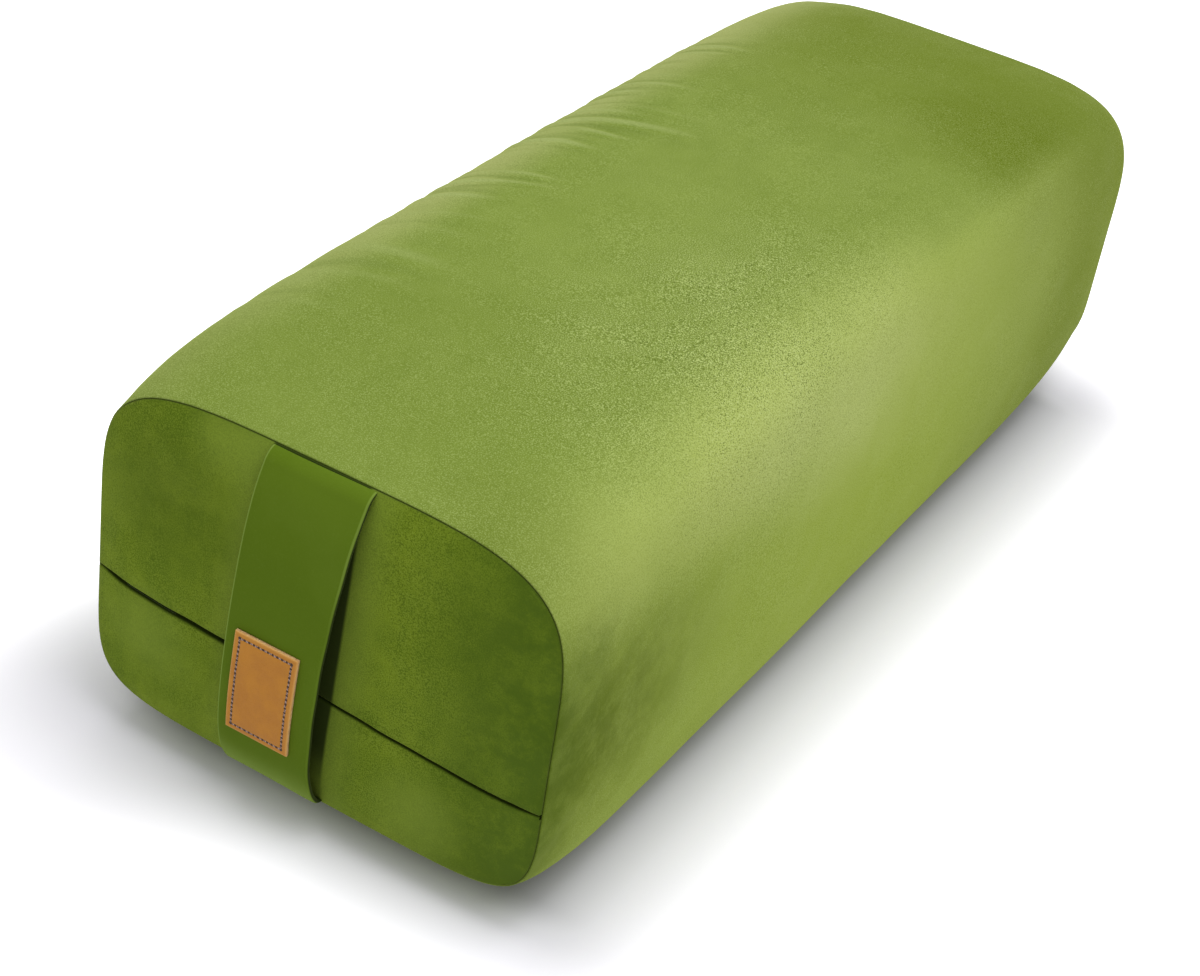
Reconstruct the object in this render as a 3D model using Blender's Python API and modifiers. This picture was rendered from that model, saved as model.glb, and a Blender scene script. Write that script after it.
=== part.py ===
"""Rectangular yoga bolster: a velvet cover with a concealed zip and a carrying strap at one end,
over a zipped cotton liner that holds the hull filling.

Metres, +Z up. The handle end faces -Y. The origin is the middle of the resting face, on the floor.
"""

import math
from dataclasses import dataclass

import bmesh
import bpy
from mathutils import Matrix, Vector

# Stuffed form of the cover, from one end seam to the other
LENGTH = 0.646
WIDTH = 0.250
END_HEIGHT = 0.178
END_LIFT = 0.0222
CROWN = 0.0106
LONG_CROWN = 0.0036
END_DRAW_IN = 0.0015
FLAT_CUT = 0.0005
SWELL_EXPONENT = 9.0
TOP_EDGE_EXPONENT = 4.33
TOP_MIDDLE_EXPONENT = 6.0
BOTTOM_EXPONENT = 6.5

# Cloth, seams and the gap kept between pieces that touch
VELVET = 0.0015
COTTON = 0.0006
SEAM_ALLOWANCE = 0.008
GAP = 0.0003

# End panels: a nearly flat field that rolls over to its seam
PANEL_BULGE = 0.0047
PANEL_EXPONENT = 8.0
PANEL_RING_SHARES = (0.35, 0.62, 0.78, 0.88, 0.95)
FILLING_END_SHARE = 0.93

# Counts of faces
AROUND = 40
ALONG = 12
LINER_AROUND = AROUND // 2
STRAP_STEPS = 28
LABEL_STEPS = 8
TAPE_STEPS = 24
ROUND_STEPS = 5

# Carrying strap across the handle end, and the leather label sewn on it
STRAP_WIDTH = 0.051
STRAP_THICKNESS = 0.0026
STRAP_STAND_OFF = 0.0124
STRAP_CENTRE = -0.0105
STRAP_TOP_EXPONENT = 4.0
STRAP_BOTTOM_EXPONENT = 18.0
STRAP_ROUND = 0.0007
LABEL_WIDTH = 0.034
LABEL_HEIGHT = 0.056
LABEL_THICKNESS = 0.0018
LABEL_CENTRE_HEIGHT = 0.0850
LABEL_ACROSS = -0.0020
LABEL_ROUND = 0.0004

# Zip lines: the cover's runs aslant from side seam to side seam, the liner's is level. Each zip's
# stops keep their room to the cover's sides
ZIP_HEIGHT = 0.0843
ZIP_SLANT = math.radians(3.2)
ZIP_SIDE_ROOM = 0.025
ZIP_TAPE_PAST_STOP = 0.0137
LINER_ZIP_HEIGHT = 0.150
LINER_ZIP_SIDE_ROOM = 0.040
SLIT = 0.0020
TAPE_WIDTH = 0.014
TAPE_THICKNESS = 0.0007
COIL_WIDTH = 0.0020
COIL_THICKNESS = 0.0016
COIL_PITCH = 0.0020
COIL_GROOVE = 0.00035
STOP_LENGTH = 0.003
STOP_ROUND = 0.0003

# Zip slider: a channel behind the coils, a neck through the slit, a shoe and an arch in front
SLIDER_LENGTH = 0.012
SLIDER_WALL = 0.0008
SLIDER_BOW_ROOM = 0.0009
SLIDER_END_ROOM = 0.001
NECK_LENGTH = 0.005
NECK_THICKNESS = 0.0012
SHOE_LENGTH = 0.010
SHOE_WIDTH = 0.0052
SHOE_THICKNESS = 0.0010
SHOE_ROUND = 0.0020
ARCH_SPAN = 0.0044
ARCH_HEIGHT = 0.0020
ARCH_METAL = 0.0011
ARCH_WIDTH = 0.0016
ARCH_ROUND = 0.0016

# Pull tab: a drop with a window whose round end bar lies under the slider's arch. It is short enough
# to turn over behind the strap
PULL_REACH = 0.0095
PULL_THICKNESS = 0.0010
PULL_SIDE = 0.0008
PULL_SIDE_ROOM = 0.0004
PULL_WINDOW = 0.0042
PULL_TIP_RADIUS = 0.0029
PULL_HOLE_RADIUS = 0.0010

OBJECT_NAME = "yoga_bolster"
NEAR_SIGN = -1.0
FAR_SIGN = 1.0
VELVET_GREEN = (0.17, 0.27, 0.045)
STRAP_GREEN = (0.08, 0.13, 0.015)
LEATHER_TAN = (0.43, 0.17, 0.04)
TAPE_GREEN = (0.06, 0.10, 0.02)
ENAMEL_GREEN = (0.10, 0.17, 0.03)
COTTON_WHITE = (0.80, 0.78, 0.72)
STEEL_GREY = (0.55, 0.55, 0.56)
HULL_BROWN = (0.10, 0.055, 0.035)


# Collections, materials and small helpers


def remove_everything():
    for thing in list(bpy.data.objects):
        bpy.data.objects.remove(thing, do_unlink=True)


def new_collection(name):
    made = bpy.data.collections.new(name)
    bpy.context.scene.collection.children.link(made)
    return made


def new_material(name, colour, roughness, metallic=0.0):
    material = bpy.data.materials.new(name)
    material.use_nodes = True
    shader = material.node_tree.nodes["Principled BSDF"]
    shader.inputs["Base Color"].default_value = (*colour, 1.0)
    shader.inputs["Roughness"].default_value = roughness
    shader.inputs["Metallic"].default_value = metallic
    return material


def new_object(name, mesh, collection, colour, roughness, metallic=0.0):
    thing = bpy.data.objects.new(name, mesh)
    collection.objects.link(thing)
    mesh.materials.clear()
    mesh.materials.append(new_material(name, colour, roughness, metallic))
    mesh.shade_smooth()
    mesh.set_sharp_from_angle(angle=math.radians(40.0))
    return thing


def evaluated_mesh(thing):
    graph = bpy.context.evaluated_depsgraph_get()
    return bpy.data.meshes.new_from_object(thing.evaluated_get(graph))


def boolean(mesh, other, operation):
    """The mesh joined with another, or cut by it, as a new mesh. Both meshes are used up."""
    base = bpy.data.objects.new("base", mesh)
    partner = bpy.data.objects.new("partner", other)
    for thing in (base, partner):
        bpy.context.scene.collection.objects.link(thing)
    modifier = base.modifiers.new("boolean", "BOOLEAN")
    modifier.operation = operation
    modifier.solver = "EXACT"
    modifier.object = partner
    made = evaluated_mesh(base)
    for thing in (base, partner):
        bpy.data.objects.remove(thing, do_unlink=True)
    return made


def soften(thing, width, segments=2):
    """Rounds the piece's sharp edges."""
    modifier = thing.modifiers.new("rounded edges", "BEVEL")
    modifier.width = width
    modifier.segments = segments
    modifier.limit_method = "ANGLE"
    modifier.angle_limit = math.radians(50.0)
    return modifier


def mesh_from(work):
    """Closes a bmesh into a mesh whose faces point out."""
    bmesh.ops.recalc_face_normals(work, faces=work.faces)
    mesh = bpy.data.meshes.new("mesh")
    work.to_mesh(mesh)
    work.free()
    return mesh


def box(low, high):
    """A box between two corners, from a unit cube."""
    work = bmesh.new()
    bmesh.ops.create_cube(work, size=1.0)
    middle = (Vector(low) + Vector(high)) / 2.0
    size = Vector(high) - Vector(low)
    work.transform(Matrix.Translation(middle) @ Matrix.Diagonal((*size, 1.0)))
    return mesh_from(work)


def loft(rings, ring_closes=False):
    """Skins rings of equal count. The last ring joins the first, or both ends get a fan of faces."""
    work = bmesh.new()
    loops = [[work.verts.new(point) for point in ring] for ring in rings]
    count = len(rings[0])
    pairs = list(zip(loops, loops[1:]))
    if ring_closes:
        pairs.append((loops[-1], loops[0]))
    for first, second in pairs:
        for i in range(count):
            j = (i + 1) % count
            work.faces.new((first[i], first[j], second[j], second[i]))
    if not ring_closes:
        for loop in (loops[0], loops[-1]):
            middle = work.verts.new(sum((v.co for v in loop), Vector()) / count)
            for i in range(count):
                work.faces.new((loop[i], loop[(i + 1) % count], middle))
    return mesh_from(work)


def patch(across, along, place, thickness):
    """A sheet laid through place(u, v) for u and v from 0 to 1, thickened towards +Y."""
    work = bmesh.new()
    rows = [
        [work.verts.new(place(u / across, v / along)) for u in range(across + 1)]
        for v in range(along + 1)
    ]
    for low, high in zip(rows, rows[1:]):
        for i in range(across):
            work.faces.new((low[i], low[i + 1], high[i + 1], high[i]))
    mesh = bpy.data.meshes.new("patch")
    work.to_mesh(mesh)
    work.free()
    sheet = bpy.data.objects.new("sheet", mesh)
    bpy.context.scene.collection.objects.link(sheet)
    solid = sheet.modifiers.new("thickness", "SOLIDIFY")
    solid.thickness = thickness
    solid.offset = -1.0
    solid.use_even_offset = True
    made = evaluated_mesh(sheet)
    bpy.data.objects.remove(sheet, do_unlink=True)
    return made


def extruded(outlines, length):
    """A flat outline, and any holes in it, in X and Z, made as thick as length along Y about 0."""
    curve = bpy.data.curves.new("outline", "CURVE")
    curve.dimensions = "2D"
    curve.fill_mode = "BOTH"
    curve.extrude = length / 2.0
    curve.resolution_u = 1
    for points in outlines:
        spline = curve.splines.new("POLY")
        spline.points.add(len(points) - 1)
        for point, (x, z) in zip(spline.points, points):
            point.co = (x, z, 0.0, 1.0)
        spline.use_cyclic_u = True
    flat = bpy.data.objects.new("outline", curve)
    bpy.context.scene.collection.objects.link(flat)
    mesh = evaluated_mesh(flat)
    bpy.data.objects.remove(flat, do_unlink=True)
    work = bmesh.new()
    work.from_mesh(mesh)
    bmesh.ops.remove_doubles(work, verts=work.verts, dist=GAP / 100.0)
    work.transform(Matrix.Rotation(math.radians(90.0), 4, "X"))
    return mesh_from(work)


def arc(centre_x, centre_z, radius, start, end, steps):
    """Points along an arc, from one angle to another, in degrees."""
    angles = [math.radians(start + (end - start) * i / steps) for i in range(steps + 1)]
    return [
        (centre_x + radius * math.cos(a), centre_z + radius * math.sin(a))
        for a in angles
    ]


def rounded_rectangle(half_x, half_z, radius):
    x, z = half_x - radius, half_z - radius
    return (
        arc(x, z, radius, 0.0, 90.0, ROUND_STEPS)
        + arc(-x, z, radius, 90.0, 180.0, ROUND_STEPS)
        + arc(-x, -z, radius, 180.0, 270.0, ROUND_STEPS)
        + arc(x, -z, radius, 270.0, 360.0, ROUND_STEPS)
    )


# Shape of the stuffed cover


def fullness(y):
    """0 at an end seam, rising quickly to 1 as the filling swells the cover."""
    return 1.0 - abs(2.0 * y / LENGTH) ** SWELL_EXPONENT


def top_height(y):
    long_arch = 1.0 - (2.0 * y / LENGTH) ** 2
    return END_LIFT + END_HEIGHT + CROWN * fullness(y) + LONG_CROWN * long_arch


def bottom_height(y):
    return END_LIFT * (1.0 - fullness(y)) - FLAT_CUT


def half_width_at(y):
    """The end seams draw the sides in a little."""
    return WIDTH / 2.0 - END_DRAW_IN * (1.0 - fullness(y))


def edge_exponent(y, upper):
    """How square the section's corners are: rounder at the top of each end."""
    if not upper:
        return BOTTOM_EXPONENT
    return (
        TOP_EDGE_EXPONENT + (TOP_MIDDLE_EXPONENT - TOP_EDGE_EXPONENT) * fullness(y)
    )


def section_point(y, angle, inset):
    """A point of the rounded section at y, moved in from the cover's outside by inset."""
    across, up = math.cos(angle), math.sin(angle)
    power = 2.0 / edge_exponent(y, up >= 0.0)
    middle = (top_height(y) + bottom_height(y)) / 2.0
    half_height = (top_height(y) - bottom_height(y)) / 2.0 - inset
    x = (half_width_at(y) - inset) * math.copysign(abs(across) ** power, across)
    z = middle + half_height * math.copysign(abs(up) ** power, up)
    return Vector((x, y, max(z, inset)))


def section_ring(y, inset, count):
    return [section_point(y, 2.0 * math.pi * i / count, inset) for i in range(count)]


def stations():
    """Places of the rings along Y: the two end seams, and closer together near them."""
    end = LENGTH / 2.0 - SEAM_ALLOWANCE
    inner = [-end * math.cos(math.pi * i / ALONG) for i in range(ALONG + 1)]
    return [-LENGTH / 2.0, *inner, LENGTH / 2.0]


def wrap(places, inset, cloth, count):
    """An open tube of cloth along the form, its outside moved in by inset."""
    outside = [section_ring(y, inset, count) for y in places]
    inside = [section_ring(y, inset + cloth, count) for y in reversed(places)]
    return loft(outside + inside, ring_closes=True)


# End panels


def panel_inset():
    """How far the panel's seam lies inside the cover's outside."""
    return VELVET + GAP


def panel_share(x, z):
    """0 in the middle of the end panel and 1 at its seam."""
    seam = LENGTH / 2.0
    middle = (top_height(seam) + bottom_height(seam)) / 2.0
    half_height = (top_height(seam) - bottom_height(seam)) / 2.0 - panel_inset()
    half_width = half_width_at(seam) - panel_inset()
    power = edge_exponent(seam, z >= middle)
    reach = abs(x / half_width) ** power + abs((z - middle) / half_height) ** power
    return min(reach ** (1.0 / power), 1.0)


def bulge(share):
    """How far the panel stands out past its seam."""
    return PANEL_BULGE * (1.0 - share**PANEL_EXPONENT)


def scaled_ring(ring, share, y):
    middle = sum(ring, Vector()) / len(ring)
    return [Vector((*(middle + (p - middle) * share).xz, y)).xzy for p in ring]


def end_panel(side):
    """A velvet panel with its seam allowance turned in along the inside of the cover."""
    seam = side * LENGTH / 2.0
    turn = side * (LENGTH / 2.0 - SEAM_ALLOWANCE)
    inset = panel_inset()
    edge = section_ring(seam, inset, AROUND)
    face = [
        scaled_ring(edge, share, seam + side * bulge(share))
        for share in PANEL_RING_SHARES
    ]
    back = [
        scaled_ring(edge, share, seam + side * (bulge(share) - VELVET))
        for share in reversed(PANEL_RING_SHARES)
    ]
    turned_in = [
        section_ring(turn, inset, AROUND),
        section_ring(turn, inset + VELVET, AROUND),
        section_ring(seam - side * VELVET, inset + VELVET, AROUND),
    ]
    return loft([*face, edge, *turned_in, *back])


def zip_frame(height, slant, y):
    """The place of a zip line: X along it, Y into the bolster, Z across it."""
    return Matrix.Translation((0.0, y, height)) @ Matrix.Rotation(slant, 4, "Y")


def panel_half(panel, height, slant, upper):
    """The part of an end panel above or below its zip slit."""
    low = -WIDTH if upper else -SLIT / 2.0
    high = SLIT / 2.0 if upper else WIDTH
    cutter = box((-WIDTH, -WIDTH, low), (WIDTH, WIDTH, high))
    cutter.transform(zip_frame(height, slant, NEAR_SIGN * LENGTH / 2.0))
    return boolean(panel, cutter, "DIFFERENCE")


def build_cover(parts):
    cover = new_object(
        "cover_wrap",
        wrap(stations(), 0.0, VELVET, AROUND),
        parts,
        VELVET_GREEN,
        0.85,
    )
    for name, upper in (
        ("near_end_upper_panel", True),
        ("near_end_lower_panel", False),
    ):
        half = panel_half(end_panel(NEAR_SIGN), ZIP_HEIGHT, ZIP_SLANT, upper)
        new_object(name, half, parts, VELVET_GREEN, 0.85)
    new_object("far_end_panel", end_panel(FAR_SIGN), parts, VELVET_GREEN, 0.85)
    return cover


# Carrying strap and its label


def strap_ends():
    """The strap's lowest and highest edge, at the end seams."""
    seam = NEAR_SIGN * LENGTH / 2.0
    return bottom_height(seam) + VELVET, top_height(seam) - VELVET


def strap_centre(z):
    """The strap stands square to the slanted zip line."""
    return STRAP_CENTRE + (z - ZIP_HEIGHT) * math.tan(ZIP_SLANT)


def strap_inside(x, z):
    """Y of the strap's inner face: close to the panel at the top, with its belly low."""
    low, high = strap_ends()
    rise = min(max((z - low) / (high - low), 0.0), 1.0)
    belly = (1.0 - rise**STRAP_TOP_EXPONENT) * (
        1.0 - (1.0 - rise) ** STRAP_BOTTOM_EXPONENT
    )
    stand_off = GAP + bulge(panel_share(x, z)) + STRAP_STAND_OFF * belly
    return NEAR_SIGN * (LENGTH / 2.0 + stand_off)


def strip(width, across, low, high, lift, thickness, steps):
    """A flat strip that follows the strap's face from low to high, lifted off it by lift."""

    def place(u, v):
        z = low + (high - low) * v
        middle = strap_centre(z)
        x = middle + across + width * (u - 0.5)
        return Vector((x, strap_inside(middle, z) - lift - thickness, z))

    return patch(1, steps, place, thickness)


def build_handle(parts):
    low, high = strap_ends()
    strap = new_object(
        "handle_strap",
        strip(STRAP_WIDTH, 0.0, low, high, 0.0, STRAP_THICKNESS, STRAP_STEPS),
        parts,
        STRAP_GREEN,
        0.8,
    )
    soften(strap, STRAP_ROUND)
    label = new_object(
        "leather_label",
        strip(
            LABEL_WIDTH,
            LABEL_ACROSS,
            LABEL_CENTRE_HEIGHT - LABEL_HEIGHT / 2.0,
            LABEL_CENTRE_HEIGHT + LABEL_HEIGHT / 2.0,
            STRAP_THICKNESS + GAP,
            LABEL_THICKNESS,
            LABEL_STEPS,
        ),
        parts,
        LEATHER_TAN,
        0.5,
    )
    soften(label, LABEL_ROUND)


# Zips


@dataclass
class ZipLine:
    """A zip: its names' beginning, the place of its line, and the face of the panel it closes."""

    prefix: str
    frame: Matrix
    half_length: float
    past_stop: float
    slider_rest: float
    outside: float
    cloth: float
    bows: bool

    def inside(self, x, z):
        """Y, in the zip's own frame, of the panel's inner face at x and z of that frame."""
        if not self.bows:
            return self.outside + self.cloth
        place = self.frame @ Vector((x, 0.0, z))
        return NEAR_SIGN * bulge(panel_share(place.x, place.z)) + self.cloth


def tape_depth():
    return GAP


def coil_depth():
    return tape_depth() + TAPE_THICKNESS + GAP


def channel_depth():
    """From the panel's inner face to the slider's back plate."""
    return coil_depth() + COIL_THICKNESS + GAP + SLIDER_BOW_ROOM


def band_edges(side, width):
    """The lower and upper edge of a band on one side of the slit."""
    inner = side * (SLIT / 2.0 + GAP)
    outer = inner + side * width
    return min(inner, outer), max(inner, outer)


def zip_tape(line, side):
    """A woven tape along one side of the slit, behind the panel and following its curve."""
    low, high = band_edges(side, TAPE_WIDTH)
    half_length = line.half_length + line.past_stop

    def place(u, v):
        x = half_length * (2.0 * u - 1.0)
        z = low + (high - low) * v
        return Vector((x, line.inside(x, z) + tape_depth(), z))

    return patch(TAPE_STEPS, 1, place, TAPE_THICKNESS)


def zip_coil(line, side):
    """A ribbed row behind the tape: each rib is as wide and thick as the coil."""
    low, high = band_edges(side, COIL_WIDTH)
    half_steps = 2 * round(2.0 * line.half_length / COIL_PITCH)
    rings = []
    for i in range(half_steps + 1):
        x = line.half_length * (2.0 * i / half_steps - 1.0)
        cut = COIL_GROOVE if i % 2 else 0.0
        front = line.inside(x, (low + high) / 2.0) + coil_depth() + cut
        back = front + COIL_THICKNESS - 2.0 * cut
        rings.append(
            [
                Vector((x, front, low + cut)),
                Vector((x, back, low + cut)),
                Vector((x, back, high - cut)),
                Vector((x, front, high - cut)),
            ]
        )
    return loft(rings)


def channel(line):
    """The slider's back plate with a rim on each side of the coils."""
    inside = SLIT / 2.0 + GAP + COIL_WIDTH + GAP
    outside = inside + SLIDER_WALL
    back = channel_depth()
    rim = tape_depth() + TAPE_THICKNESS + GAP + SLIDER_BOW_ROOM
    profile = [
        (rim, inside),
        (back, inside),
        (back, -inside),
        (rim, -inside),
        (rim, -outside),
        (back + SLIDER_WALL, -outside),
        (back + SLIDER_WALL, outside),
        (rim, outside),
    ]
    mesh = extruded([[(z, depth) for depth, z in profile]], SLIDER_LENGTH)
    to_line = Matrix(((0, 1, 0, 0), (0, 0, 1, 0), (1, 0, 0, 0), (0, 0, 0, 1)))
    mesh.transform(to_line)
    mesh.transform(Matrix.Translation((0.0, line.inside(0.0, 0.0), 0.0)))
    return mesh


def arch():
    """The loop on the slider's front that holds the pull tab, standing on Y = 0 towards -Y."""
    half, height = ARCH_SPAN / 2.0, ARCH_HEIGHT
    outer = half + ARCH_METAL
    top = height + SHOE_THICKNESS
    overlap = -SHOE_THICKNESS / 2.0
    outline = [
        (outer, overlap),
        *arc(outer - ARCH_ROUND, top - ARCH_ROUND, ARCH_ROUND, 0.0, 90.0, ROUND_STEPS),
        *arc(
            ARCH_ROUND - outer, top - ARCH_ROUND, ARCH_ROUND, 90.0, 180.0, ROUND_STEPS
        ),
        (-outer, overlap),
        (-half, overlap),
        (-half, height),
        (half, height),
        (half, overlap),
    ]
    mesh = extruded([outline], ARCH_WIDTH)
    mesh.transform(Matrix.Rotation(math.radians(90.0), 4, "X"))
    return mesh


def slider_front(line):
    """Y of the front of the slider's shoe."""
    return line.inside(0.0, 0.0) - line.cloth - GAP - SHOE_THICKNESS


def slider(line):
    front = slider_front(line)
    back = line.inside(0.0, 0.0) + channel_depth()
    neck = box(
        (-NECK_LENGTH / 2.0, front + SHOE_THICKNESS / 2.0, -NECK_THICKNESS / 2.0),
        (NECK_LENGTH / 2.0, back + SLIDER_WALL / 2.0, NECK_THICKNESS / 2.0),
    )
    shoe = extruded(
        [rounded_rectangle(SHOE_LENGTH / 2.0, SHOE_WIDTH / 2.0, SHOE_ROUND)],
        SHOE_THICKNESS,
    )
    shoe.transform(Matrix.Translation((0.0, front + SHOE_THICKNESS / 2.0, 0.0)))
    loop = arch()
    loop.transform(Matrix.Translation((0.0, front, 0.0)))
    made = boolean(channel(line), neck, "UNION")
    made = boolean(made, shoe, "UNION")
    return boolean(made, loop, "UNION")


def pull_half_width():
    return ARCH_WIDTH / 2.0 + PULL_SIDE_ROOM + PULL_SIDE


def pull_outline():
    """The drop, from its open window at 0 to its round tip."""
    half = pull_half_width()
    window = half - PULL_SIDE
    tip = PULL_REACH - PULL_TIP_RADIUS
    return [
        (0.0, half),
        *arc(-tip, 0.0, PULL_TIP_RADIUS, 100.0, 260.0, 2 * ROUND_STEPS),
        (0.0, -half),
        (0.0, -window),
        (-PULL_WINDOW, -window),
        (-PULL_WINDOW, window),
        (0.0, window),
    ]


def pull_tab():
    """A flat drop with a hole near its tip, and a round bar that closes its window for the arch."""
    tip = PULL_REACH - PULL_TIP_RADIUS
    hole = arc(-tip, 0.0, PULL_HOLE_RADIUS, 0.0, 360.0, 2 * ROUND_STEPS)[:-1]
    plate = extruded([pull_outline(), hole], PULL_THICKNESS)
    circle = arc(0.0, 0.0, PULL_THICKNESS / 2.0, 0.0, 360.0, 4 * ROUND_STEPS)[:-1]
    bar = extruded([circle], 2.0 * pull_half_width())
    bar.transform(Matrix.Rotation(math.radians(90.0), 4, "X"))
    return boolean(plate, bar, "UNION")


def zip_stop(line, side):
    """A clip across both coils at one end of the zip, clear of the tape at its outer end."""
    half = SLIT / 2.0 + GAP + COIL_WIDTH
    start = line.half_length + GAP
    place = side * (start + STOP_LENGTH / 2.0)
    depth = line.inside(side * (start + STOP_LENGTH), 0.0) + coil_depth()
    low = (-STOP_LENGTH / 2.0, 0.0, -half)
    high = (STOP_LENGTH / 2.0, COIL_THICKNESS, half)
    mesh = box(low, high)
    mesh.transform(Matrix.Translation((place, depth, 0.0)))
    return mesh


def build_zip(parts, line):
    axis = bpy.data.objects.new(line.prefix + "zip_line", None)
    axis.matrix_world = line.frame
    parts.objects.link(axis)
    made = []
    for word, side in (("upper", 1.0), ("lower", -1.0)):
        for kind, mesh, roughness in (
            ("tape", zip_tape(line, side), 0.9),
            ("coil", zip_coil(line, side), 0.5),
        ):
            name = f"{line.prefix}zip_{kind}_{word}"
            made.append(new_object(name, mesh, parts, TAPE_GREEN, roughness))
    for word, side in (("left", -1.0), ("right", 1.0)):
        stop = new_object(
            f"{line.prefix}zip_stop_{word}",
            zip_stop(line, side),
            parts,
            STEEL_GREY,
            0.35,
            1.0,
        )
        soften(stop, STOP_ROUND, 1)
        made.append(stop)
    body = new_object(
        f"{line.prefix}zip_slider", slider(line), parts, ENAMEL_GREEN, 0.4
    )
    body.location = (line.slider_rest, 0.0, 0.0)
    made.append(body)
    tab = new_object(f"{line.prefix}zip_pull_tab", pull_tab(), parts, ENAMEL_GREEN, 0.4)
    tab.location = (
        line.slider_rest,
        slider_front(line) - ARCH_HEIGHT / 2.0,
        0.0,
    )
    made.append(tab)
    for thing in made:
        thing.parent = axis


def cover_zip():
    """Its slider is parked behind the strap."""
    seam = NEAR_SIGN * LENGTH / 2.0
    return ZipLine(
        prefix="",
        frame=zip_frame(ZIP_HEIGHT, ZIP_SLANT, seam),
        half_length=WIDTH / 2.0 - ZIP_SIDE_ROOM,
        past_stop=ZIP_TAPE_PAST_STOP,
        slider_rest=STRAP_CENTRE,
        outside=NEAR_SIGN * PANEL_BULGE,
        cloth=VELVET,
        bows=True,
    )


def liner_face():
    """Y of the outside of the liner's near end."""
    return NEAR_SIGN * (LENGTH / 2.0 - SEAM_ALLOWANCE - GAP)


def liner_zip():
    """Its slider is closed, at the left end."""
    half_length = WIDTH / 2.0 - LINER_ZIP_SIDE_ROOM
    return ZipLine(
        prefix="liner_",
        frame=zip_frame(LINER_ZIP_HEIGHT, 0.0, liner_face()),
        half_length=half_length,
        past_stop=ZIP_TAPE_PAST_STOP,
        slider_rest=SLIDER_LENGTH / 2.0 + SLIDER_END_ROOM - half_length,
        outside=0.0,
        cloth=COTTON,
        bows=False,
    )


# Liner and filling


def liner_stations():
    """The cover's own stations, so that the liner lies inside its facets."""
    inner = stations()[1:-1]
    return [inner[0] + GAP, *inner[1:-1], inner[-1] - GAP]


def liner_end(side):
    """A flat cotton end inside the mouth of the liner."""
    outside = -side * liner_face()
    inside = outside - side * COTTON
    inset = panel_inset() + COTTON + GAP
    rings = [section_ring(outside, inset, LINER_AROUND)]
    rings.append(section_ring(inside, inset, LINER_AROUND))
    return loft(rings)


def liner_half(upper):
    panel = liner_end(NEAR_SIGN)
    return panel_half(panel, LINER_ZIP_HEIGHT, 0.0, upper)


def build_liner(parts):
    new_object(
        "liner_wrap",
        wrap(liner_stations(), panel_inset(), COTTON, LINER_AROUND),
        parts,
        COTTON_WHITE,
        0.9,
    )
    new_object("liner_near_upper_end", liner_half(True), parts, COTTON_WHITE, 0.9)
    new_object("liner_near_lower_end", liner_half(False), parts, COTTON_WHITE, 0.9)
    new_object("liner_far_end", liner_end(FAR_SIGN), parts, COTTON_WHITE, 0.9)


def build_filling(parts):
    """The hulls fill the liner, rounded off behind its zip."""
    inset = panel_inset() + COTTON + GAP
    zip_room = channel_depth() + SLIDER_WALL + GAP
    near = liner_face() + COTTON + zip_room
    far = -liner_face() - COTTON - GAP
    places = liner_stations()[1:-1]
    rings = [section_ring(y, inset, LINER_AROUND) for y in places]
    first = scaled_ring(rings[0], FILLING_END_SHARE, near)
    last = scaled_ring(rings[-1], FILLING_END_SHARE, far)
    new_object(
        "hull_filling", loft([first, *rings, last]), parts, HULL_BROWN, 0.8
    )


def main():
    remove_everything()
    parts = new_collection(OBJECT_NAME)
    build_cover(parts)
    build_handle(parts)
    build_zip(parts, cover_zip())
    build_liner(parts)
    build_zip(parts, liner_zip())
    build_filling(parts)
    bpy.context.view_layer.update()


main()
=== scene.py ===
"""Looks of the rectangular yoga bolster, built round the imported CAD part.

Metres, +Z up, in the CAD part's own frame: the handle end faces -Y.
"""

import math
from functools import cached_property, reduce
from itertools import accumulate

import bpy
import numpy as np
from mathutils import Matrix, Vector, noise


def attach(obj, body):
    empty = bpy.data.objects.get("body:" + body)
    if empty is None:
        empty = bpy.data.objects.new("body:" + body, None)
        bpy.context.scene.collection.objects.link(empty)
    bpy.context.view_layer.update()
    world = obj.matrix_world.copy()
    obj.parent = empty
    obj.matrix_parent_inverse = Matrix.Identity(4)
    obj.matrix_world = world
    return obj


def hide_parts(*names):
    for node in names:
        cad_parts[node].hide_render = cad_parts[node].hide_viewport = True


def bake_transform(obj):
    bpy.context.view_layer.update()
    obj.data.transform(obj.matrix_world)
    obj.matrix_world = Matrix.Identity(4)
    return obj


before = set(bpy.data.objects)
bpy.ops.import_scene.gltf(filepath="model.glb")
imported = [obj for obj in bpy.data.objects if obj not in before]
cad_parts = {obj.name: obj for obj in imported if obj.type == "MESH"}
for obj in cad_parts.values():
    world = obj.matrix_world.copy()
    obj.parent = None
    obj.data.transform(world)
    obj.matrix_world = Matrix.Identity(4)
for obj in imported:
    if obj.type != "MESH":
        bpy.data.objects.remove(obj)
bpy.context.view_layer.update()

# Stuffed form, with the same values as the CAD part
LENGTH = 0.646
SEAM_Y = LENGTH / 2.0
WIDTH = 0.25
END_HEIGHT = 0.178
END_LIFT = 0.0222
CROWN = 0.0106
LONG_CROWN = 0.0036
END_DRAW_IN = 0.0015
FLAT_CUT = 0.0005
SWELL_EXPONENT = 9.0
TOP_EDGE_EXPONENT = 4.33
TOP_MIDDLE_EXPONENT = 6.0
BOTTOM_EXPONENT = 6.5
VELVET = 0.0015
GAP = 0.0003
PANEL_BULGE = 0.0047
PANEL_EXPONENT = 8.0

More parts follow.
